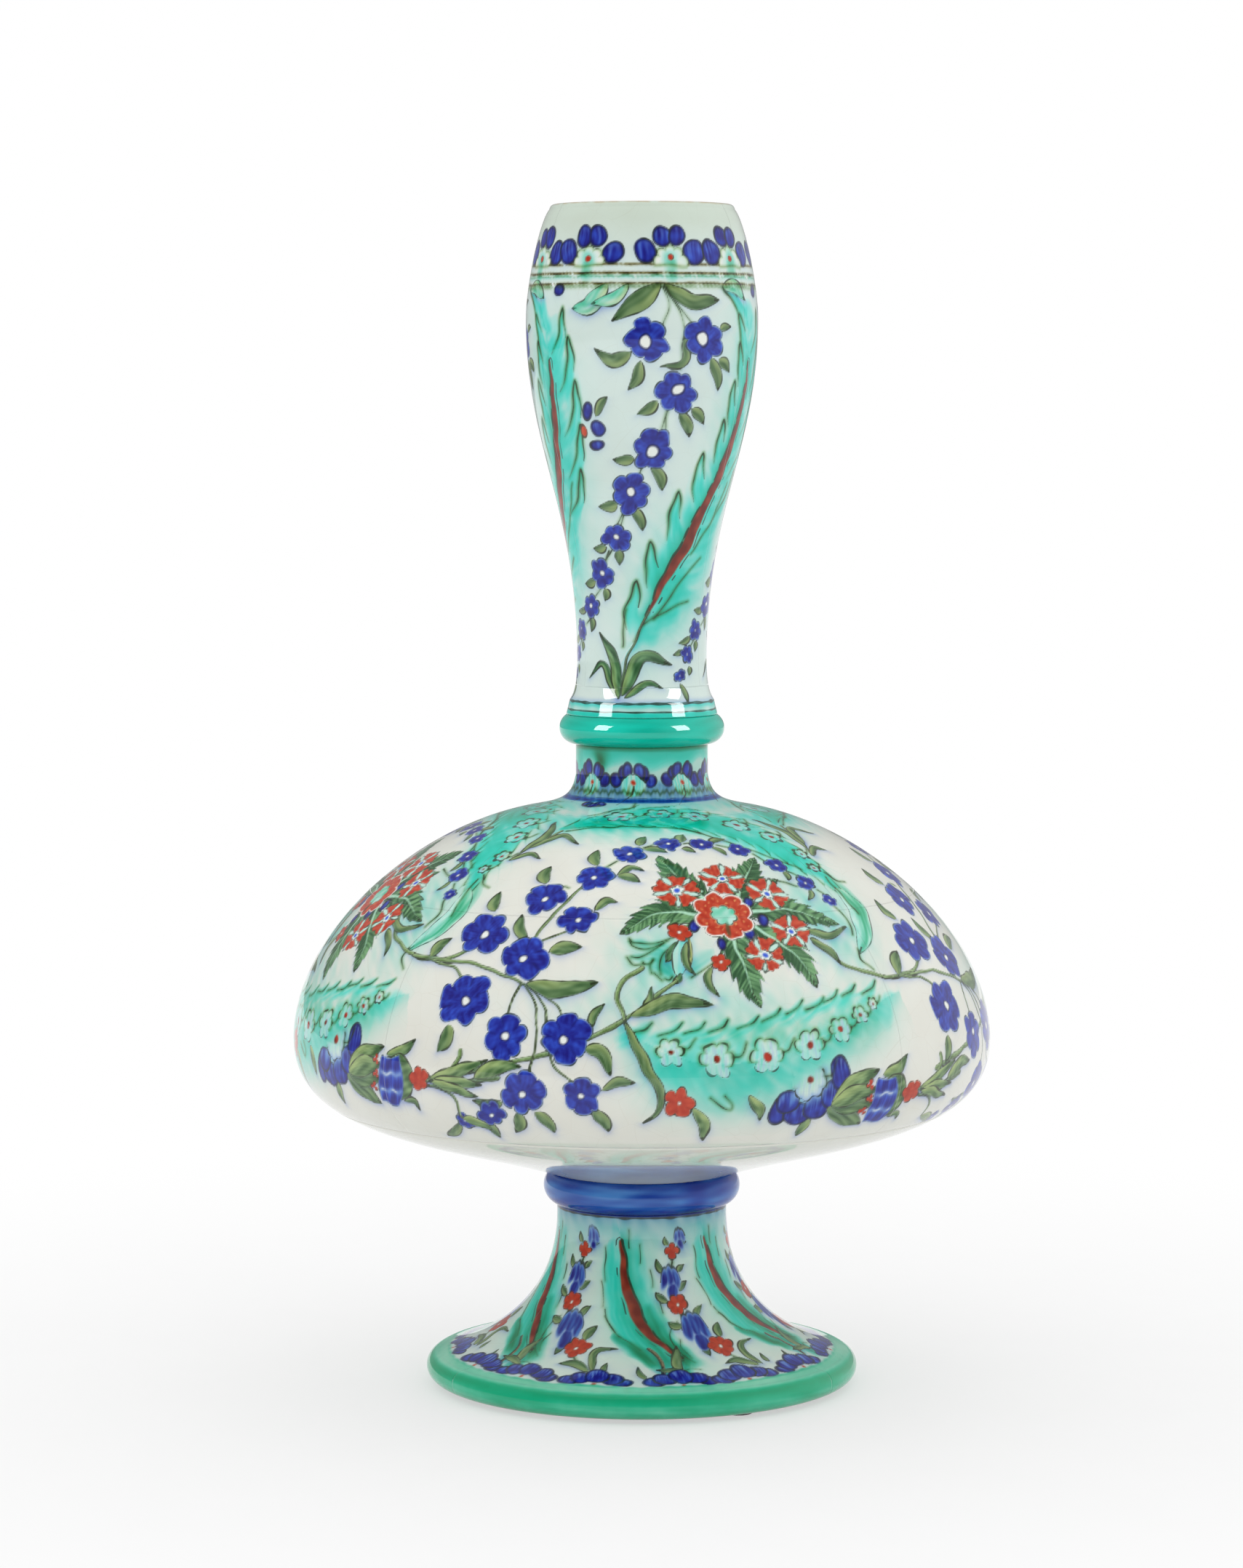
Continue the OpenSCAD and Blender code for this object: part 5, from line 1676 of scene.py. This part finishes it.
class Coat:
    """A closed skin of glaze: the painted grid outside, a coarse grid inside and narrow walls at its edges.

    The bands are heights on the bake map, where the painted grid takes nearly all the room.
    """

    outside = 0.25
    inside = 0.05
    skin_band = (0.05, 0.995)
    lining_band = (0.002, 0.012)
    wall_band = 0.015
    wall_step = 0.008
    wall_height = 0.005

    def __init__(self, canvas: Canvas) -> None:
        """Keeps the canvas, and whether it goes all the way round.

        Args:
            canvas: The painted grid.
        """
        self.canvas = canvas
        self.ring = canvas.turn[-1] - canvas.turn[0] > 359.0
        self.wide = canvas.columns + (0 if self.ring else 1)
        self.few = canvas.columns // STRIDE + (0 if self.ring else 1)
        self.first = (canvas.rows + 1) * self.wide

    def outer(self, row: Array, column: Array) -> Array:
        """Number of a point of the painted grid."""
        return row * self.wide + column % self.wide

    def inner(self, row: Array, column: Array) -> Array:
        """Number of a point of the coarse grid."""
        return self.first + row * self.few + column % self.few

    def walls(self) -> list[tuple[Array, Array]]:
        """The edge walls: each face runs along the painted edge and back by two coarse points.

        Returns:
            Corner numbers and, for each corner, its share along and across the wall.
        """
        c = self.canvas
        step = np.arange(STRIDE + 1)
        result = []
        for length, line, coarse, flip in (
            (c.columns, lambda k: self.outer(0, k), lambda k: self.inner(0, k), True),
            (c.columns, lambda k: self.outer(c.rows, k), lambda k: self.inner(c.rows // STRIDE, k), False),
            (c.rows, lambda k: self.outer(k, 0), lambda k: self.inner(k, 0), False),
            (c.rows, lambda k: self.outer(k, c.columns), lambda k: self.inner(k, c.columns // STRIDE), True),
        ):
            start = np.arange(0, length, STRIDE)[:, None]
            block = start // STRIDE
            along = np.hstack([start + step, start + STRIDE, start]) / length
            across = np.broadcast_to(np.concatenate([np.ones(STRIDE + 1), np.zeros(2)]), along.shape)
            corners = np.hstack([line(start + step), coarse(block + 1), coarse(block)])
            order = slice(None, None, -1 if flip else 1)
            result.append((corners[:, order], np.stack([along[:, order], across[:, order]], axis=-1)))
        return result[:2] if self.ring else result

    def build(self, name: str) -> bpy.types.Object:
        """Makes the skin with its bake map, its paint and its ink.

        Args:
            name: Name of the piece.

        Returns:
            The object.
        """
        c = self.canvas
        skin = c.profile.place(c.turn, c.rise, self.outside)[:, : self.wide].reshape(-1, 3)
        lining = c.profile.place(c.turn[::STRIDE], c.rise[::STRIDE], self.inside)
        lining = lining[:, : self.few].reshape(-1, 3)
        faces, maps = [], []
        for rows, columns, number, way, (low, high) in (
            (c.rows, c.columns, self.outer, 1, self.skin_band),
            (c.rows // STRIDE, c.columns // STRIDE, self.inner, -1, self.lining_band),
        ):
            row, column = (corner[:, ::way] for corner in quads(rows, columns))
            faces.append(number(row, column))
            maps.append(np.stack([column / columns, low + (high - low) * row / rows], axis=-1))
        for k, (corners, shares) in enumerate(self.walls()):
            faces.append(corners)
            up = self.wall_band + self.wall_step * k + self.wall_height * shares[..., 1]
            maps.append(np.stack([shares[..., 0], up], axis=-1))
        piece = put_mesh(name, np.vstack([skin, lining]), faces, [True, True] + [False] * (len(faces) - 2))
        bake = piece.data.uv_layers.new(name=BAKE_MAP)
        flat = np.concatenate([m.reshape(-1, 2) for m in maps]).astype(np.float32)
        bake.uv.foreach_set("vector", flat.ravel())
        colour = np.vstack([c.colour[:, : self.wide].reshape(-1, 3), np.tile(c.ground, (len(lining), 1))])
        rgba = np.column_stack([to_linear(np.clip(colour, 0.0, 1.0)), np.ones(len(colour))])
        paint = piece.data.attributes.new(PAINT, "FLOAT_COLOR", "POINT")
        paint.data.foreach_set("color", rgba.astype(np.float32).ravel())
        ink = piece.data.attributes.new(INK, "FLOAT", "POINT")
        depth = np.concatenate([c.ink[:, : self.wide].ravel(), np.full(len(lining), FAR)])
        ink.data.foreach_set("value", depth.astype(np.float32))
        return piece


@dataclass(frozen=True)
class Tile:
    """One stretch of coat: its name, its turns and rises, how fine its grid is and what is painted on it."""

    name: str
    turns: Spot
    rises: Spot
    pitch: float
    ornaments: tuple[object, ...]

    def lay(self, profile: Profile, ground: Tone, finish: bpy.types.Material, slot: str) -> bpy.types.Object:
        """Paints the stretch, makes its coat and lets it ride with the vase.

        Args:
            profile: Outline that the coat lies on.
            ground: Colour of the bare glaze.
            finish: Material of the coat.
            slot: The record's material slot; not used.

        Returns:
            The piece.
        """
        canvas = Canvas(profile, self.turns, self.rises, self.pitch, ground)
        for ornament in self.ornaments:
            ornament.paint(canvas)
        piece = Coat(canvas).build(self.name)
        piece.data.materials.append(finish)
        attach(piece, "root")
        log.info("%s: %d by %d points", self.name, canvas.columns, canvas.rows)
        return piece


def sectors(name: str, count: int, rises: Spot, pitch: float, *ornaments: object) -> list[Tile]:
    """Equal tiles round the axis, the first of them centred on the left so that the seam lies at the back."""
    wide = 360.0 / count
    start = -180.0 + wide / 2 if count % 2 == 0 else -180.0
    return [
        Tile(f"{name}_{k + 1}", (start + k * wide, start + (k + 1) * wide), rises, pitch, ornaments)
        for k in range(count)
    ]


@dataclass
class Body:
    """The bowl, the dome and the collar: one outline from the blue bead to the green one."""

    belly: Spot = (149.0, 150.0)
    shoulder: Spot = (50.0, 248.0)
    collar: float = 28.0
    bare_to: float = -32.0
    band_to: float = 73.0
    bowl_pitch: float = 2.4
    belly_pitch: float = 0.61
    shoulder_pitch: float = 0.6
    collar_pitch: float = 0.62

    def profile(self) -> Profile:
        """The outline, with its rise counted from the belly."""
        return Profile([
            bezier((39.5, 92.0), (98.5, 112.0), (149.0, 112.0), self.belly),
            bezier(self.belly, (149.0, 192.0), (100.0, 238.0), self.shoulder),
            bezier(self.shoulder, (34.0, 251.0), (29.5, 252.5), (self.collar, 263.0)),
            straight((self.collar, 263.0), (self.collar, 276.0)),
        ], 1)

    def build(self, finish: bpy.types.Material) -> None:
        """Lays the plain bowl, four belly tiles, four shoulder tiles and the collar."""
        profile = self.profile()
        dome, collar = DomeOrnament(), CollarOrnament()
        low, high = profile.rise[0], profile.rise[-1]
        tiles = [
            Tile("bowl_glaze", WHOLE_TURN, (low, self.bare_to), self.bowl_pitch, ()),
            *sectors("belly_glaze", 4, (self.bare_to, self.band_to), self.belly_pitch, dome),
            *sectors("shoulder_glaze", 4, (self.band_to, collar.foot), self.shoulder_pitch, dome),
            Tile("collar_glaze", WHOLE_TURN, (collar.foot, high), self.collar_pitch, (dome, collar)),
        ]
        for tile in tiles:
            tile.lay(profile, Tone.WHITE, finish, "white_glaze")


@dataclass
class Neck:
    """The club-shaped neck from its banded skirt to its lip."""

    waist: Spot = (27.4, 312.0)
    swell: Spot = (49.0, 456.0)
    mouth: Spot = (39.0, 502.0)
    lip: float = 2.0
    skirt: float = 13.0
    pitch: float = 0.55
    skirt_pitch: float = 0.5

    def profile(self) -> Profile:
        """The outline, over the lip and down to its inner edge."""
        centre = (self.mouth[0] - self.lip, self.mouth[1])
        return Profile([
            straight((32.0, 288.5), (30.5, 294.5)),
            bezier((30.5, 294.5), (28.4, 297.5), (27.4, 302.0), self.waist),
            bezier(self.waist, (27.4, 377.0), (49.0, 401.0), self.swell),
            bezier(self.swell, (49.0, 470.0), (43.0, 498.0), self.mouth),
            arc(centre, self.lip, 0.0, 180.0, 40),
        ], 0)

    def build(self, finish: bpy.types.Material) -> bpy.types.Object:
        """Lays three tiles of 120 degrees over a ring round the skirt, and returns the ring."""
        profile = self.profile()
        ornament = NeckOrnament()
        rises = (self.skirt, profile.rise[-1])
        for tile in sectors("neck_glaze", 3, rises, self.pitch, ornament, LipOrnament()):
            tile.lay(profile, Tone.NECK_WHITE, finish, "neck_glaze")
        ring = Tile("skirt_glaze", WHOLE_TURN, (0.0, self.skirt), self.skirt_pitch, (ornament,))
        return ring.lay(profile, Tone.NECK_WHITE, finish, "neck_glaze")


@dataclass
class Foot:
    """The trumpet foot with its rolled rim."""

    rim: Spot = (87.0, 7.5)
    roll: float = 5.5
    top: float = 36.2
    pitch: float = 0.64

    def profile(self) -> Profile:
        """The outline from under the rim up the trumpet, with its rise counted from the top of the rim."""
        edge = (self.rim[0], self.rim[1] + self.roll)
        return Profile([
            arc(self.rim, self.roll, -90.0, 90.0),
            bezier(edge, (63.0, 19.0), (self.top, 37.0), (self.top, 74.0)),
            straight((self.top, 74.0), (self.top, 78.0), 10),
        ], 1)

    def build(self, finish: bpy.types.Material) -> None:
        """Lays three tiles of 120 degrees."""
        profile = self.profile()
        for tile in sectors("foot_glaze", 3, (profile.rise[0], profile.rise[-1]), self.pitch, FootOrnament()):
            tile.lay(profile, Tone.FOOT_WHITE, finish, "foot_glaze")


@dataclass
class Bead:
    """A round bead of glaze about the axis."""

    name: str
    slot: str
    centre: Spot
    radius: float
    sweep: Spot
    ornament: BeadOrnament
    pitch: float = 0.8

    def build(self, finish: bpy.types.Material) -> bpy.types.Object:
        """Lays one ring over the bead's round and returns it."""
        profile = Profile([arc(self.centre, self.radius, *self.sweep, 80)], 0)
        tile = Tile(self.name, WHOLE_TURN, (0.0, profile.rise[-1]), self.pitch, (self.ornament,))
        return tile.lay(profile, self.ornament.dark, finish, self.slot)


@dataclass
class FeltPad:
    """A round felt pad under the rim, pressed a little out of true."""

    node: str
    edge: float = 0.5
    fray: float = 0.12
    rings: int = 38
    sides: int = 96

    def build(self, finish: bpy.types.Material) -> None:
        """Turns a rounded section about the pad's own axis, its rim frayed by seeded waves."""
        low, high = (np.array(c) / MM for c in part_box(self.node))
        centre, half = (low + high) / 2, (high - low) / 2
        angle = np.linspace(0.0, math.tau, self.sides, endpoint=False)
        corner = np.radians(np.linspace(-90.0, 90.0, self.rings))
        r = half[0] - self.edge + self.edge * np.cos(corner)
        z = (half[2] - self.edge) * np.sign(corner) + self.edge * np.sin(corner)
        fray = self.fray * ripple(half[0] * np.cos(angle), half[1] * np.sin(angle), 3.0, 71) - self.fray
        ring_r = r[:, None] + fray[None, :]
        x, y = centre[0] + ring_r * np.sin(angle), centre[1] - ring_r * np.cos(angle)
        up = np.broadcast_to(centre[2] + z[:, None], x.shape)
        ends = np.array([[centre[0], centre[1], low[2]], [centre[0], centre[1], high[2]]])
        points = np.vstack([np.stack([x, y, up], axis=-1).reshape(-1, 3), ends]) * MM
        row, column = quads(self.rings - 1, self.sides)
        walls = row * self.sides + column % self.sides
        k = np.arange(self.sides)
        after, last = (k + 1) % self.sides, (self.rings - 1) * self.sides
        under = np.column_stack([after, k, np.full(self.sides, len(points) - 2)])
        over = np.column_stack([last + k, last + after, np.full(self.sides, len(points) - 1)])
        piece = put_mesh(f"{self.node}_felt", points, [walls, under, over], [True, False, False])
        piece.data.materials.append(finish)
        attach(piece, "root")
        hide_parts(self.node)
        log.info("%s: felt pad", self.node)


@dataclass
class Studio:
    """A white sweep under a wide soft light, in a room that is bright on the right and dim in front."""

    level: Spot = (0.8, 1.25)
    front: Spot = (-0.8, 0.1)
    gloss_front: Spot = (0.16, 0.34)
    right: Spot = (0.1, 0.95)
    gloss_right: float = 0.65
    lamp_power: float = 24.0
    lamp_size: Spot = (0.6, 0.9)
    lamp_aim: float = 0.28
    lamp_away: float = 1.6
    lamp_turn: float = 60.0
    lamp_lift: float = 24.0
    floor_hub: Spot = (0.05, 0.1)
    floor_radius: float = 6.0
    floor_rings: int = 60
    floor_sides: int = 96
    floor_fade: Spot = (0.1, 0.65)
    floor_glow: Spot = (0.52, 1.0)
    lens: float = 105.2
    eye: tuple[float, float, float] = (-0.0087, -1.953, 0.4218)
    tilt: float = 85.21

    def sky(self) -> None:
        """White to the camera, a graded room to reflections, and a fill light that grows towards the top."""
        world = bpy.data.worlds.new("studio")
        bpy.context.scene.world = world
        world.use_nodes = True
        nodes = Nodes(world.node_tree)
        path = nodes.add("LightPath")
        axes = nodes.add("SeparateXYZ", {0: nodes.add("TexCoord").outputs["Generated"]})
        room = nodes.combine(
            "ADD",
            nodes.ramp(axes.outputs["X"], *self.right, 0.0, self.gloss_right),
            nodes.ramp(axes.outputs["Y"], *self.front, *self.gloss_front),
        )
        level = nodes.ramp(axes.outputs["Z"], 0.0, 1.0, *self.level)
        for ray, seen in (("Is Glossy Ray", room), ("Is Transmission Ray", room), ("Is Camera Ray", 1.0)):
            level = nodes.add("Mix", {0: path.outputs[ray], 2: level, 3: seen}).outputs[0]
        backdrop = nodes.tree.nodes["Background"]
        nodes.feed(backdrop, "Strength", level)
        nodes.feed(backdrop, "Color", (1.0, 1.0, 1.0, 1.0))

    def lamps(self, lit: list[bpy.types.Object]) -> None:
        """Two upright lamps on both sides of the camera, screened so that only some pieces reflect them.

        Args:
            lit: The pieces that the lamps reach: the skirt of the neck and the green bead under it.
        """
        aim = Vector((0.0, 0.0, self.lamp_aim))
        reached = bpy.data.collections.new("reached_by_lamps")
        for piece in lit:
            reached.objects.link(piece)
        for side in (-1.0, 1.0):
            data = bpy.data.lights.new("softbox", "AREA")
            data.shape = "RECTANGLE"
            data.size, data.size_y = self.lamp_size
            data.energy = self.lamp_power
            lamp = bpy.data.objects.new("softbox", data)
            lamp.visible_diffuse = False
            lamp.light_linking.receiver_collection = reached
            turn, lift = math.radians(side * self.lamp_turn), math.radians(self.lamp_lift)
            out = Vector((math.sin(turn) * math.cos(lift), -math.cos(turn) * math.cos(lift), math.sin(lift)))
            lamp.location = aim + out * self.lamp_away
            lamp.rotation_euler = (-out).to_track_quat("-Z", "Y").to_euler()
            bpy.context.scene.collection.objects.link(lamp)

    def floor(self) -> None:
        """A pale disc that keeps the shadow near the vase and turns to plain white further out."""
        sides = self.floor_sides
        radii = np.concatenate([
            self.floor_hub[:1], np.linspace(self.floor_hub[1], self.floor_radius, self.floor_rings)
        ])[:, None]
        angle = np.linspace(0.0, math.tau, sides, endpoint=False)
        across, along = radii * np.sin(angle), -radii * np.cos(angle)
        grid = np.stack([across, along, np.zeros(across.shape)], axis=-1).reshape(-1, 3)
        row, column = quads(self.floor_rings, sides)
        rings = (row * sides + column % sides)[:, ::-1]
        k = np.arange(sides)
        hub = np.column_stack([np.full(sides, len(grid)), k, (k + 1) % sides])
        floor = put_mesh("floor", np.vstack([grid, np.zeros((1, 3))]), [rings, hub], [True, True])
        recipe = Recipe("pale_floor")
        length = recipe.add("VectorMath", {0: recipe.places()}, operation="LENGTH")
        away = recipe.ramp(length.outputs["Value"], *self.floor_fade, *self.floor_glow)
        path = recipe.add("LightPath")
        seen = recipe.combine("MAXIMUM", path.outputs["Is Camera Ray"], path.outputs["Is Glossy Ray"])
        mix = recipe.add("MixShader", {
            0: recipe.combine("MULTIPLY", away, seen),
            1: recipe.shader.outputs[0],
            2: recipe.add("Emission").outputs[0],
        })
        recipe.feed(recipe.tree.nodes["Material Output"], "Surface", mix.outputs[0])
        grain = recipe.blend(recipe.noise(9.0), (0.8, 0.8, 0.8, 1.0), (0.84, 0.84, 0.84, 1.0))
        floor.data.materials.append(recipe.finish(grain, recipe.ramp(recipe.noise(40.0), 0.3, 0.7, 0.7, 0.8)))

    def camera(self) -> None:
        """The photograph's viewpoint, a little above the belly."""
        data = bpy.data.cameras.new("camera")
        data.lens = self.lens
        camera = bpy.data.objects.new("camera", data)
        camera.location = self.eye
        camera.rotation_euler = Euler((math.radians(self.tilt), 0.0, 0.0))
        bpy.context.scene.collection.objects.link(camera)
        bpy.context.scene.camera = camera

    def build(self, lit: list[bpy.types.Object]) -> None:
        """Sets up the light, the floor and the camera.

        Args:
            lit: The pieces that the lamps reach.
        """
        bpy.context.scene.view_settings.view_transform = "Standard"
        self.sky()
        self.lamps(lit)
        self.floor()
        self.camera()


def dress(nodes: dict[str, bpy.types.Object]) -> None:
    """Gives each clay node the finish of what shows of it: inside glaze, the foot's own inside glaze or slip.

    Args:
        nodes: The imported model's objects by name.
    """
    white = InsideGlaze("inside_glaze", Tone.WHITE).material()
    clay = InsideGlaze("foot_inside", Tone.FOOT_WHITE).material()
    slip = BareSlip("bare_slip").material()
    for name, node in nodes.items():
        finish = slip if "slip" in name else clay if "foot" in name else white
        node.data.materials.clear()
        node.data.materials.append(finish)


def main() -> None:
    """Builds the vase on its frame and lights it."""
    logging.basicConfig(level=logging.INFO, format="%(message)s")
    for thing in list(bpy.data.objects):
        bpy.data.objects.remove(thing)
    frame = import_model()
    dress(frame["nodes"])
    Body().build(PaintedGlaze("white_glaze").material())
    lit = [Neck().build(PaintedGlaze("neck_glaze", crackle=0.06).material())]
    Foot().build(PaintedGlaze("foot_glaze", crackle=0.06).material())
    green = Bead(
        "neck_bead_glaze", "green_glaze", centre=(28.5, 282.5), radius=6.5, sweep=(-90.0, 67.0),
        ornament=BeadOrnament(Tone.BEAD_GREEN, Tone.BEAD_LIGHT, middle=9.0, patch=150.0),
    )
    blue = Bead(
        "foot_bead_glaze", "blue_glaze", centre=(34.0, 85.5), radius=8.0, sweep=(-69.0, 54.0),
        ornament=BeadOrnament(Tone.BLUE_BEAD, Tone.BLUE_LIGHT, middle=10.0, patch=34.0),
    )
    lit.append(green.build(PaintedGlaze("green_glaze", crackle=0.03).material()))
    blue.build(PaintedGlaze("blue_glaze", crackle=0.03).material())
    Studio().build(lit)
    felt = PressedFelt("felt").material()
    for name in ("felt_pad_1", "felt_pad_2", "felt_pad_3"):
        FeltPad(name).build(felt)


if __name__ == "__main__":
    main()
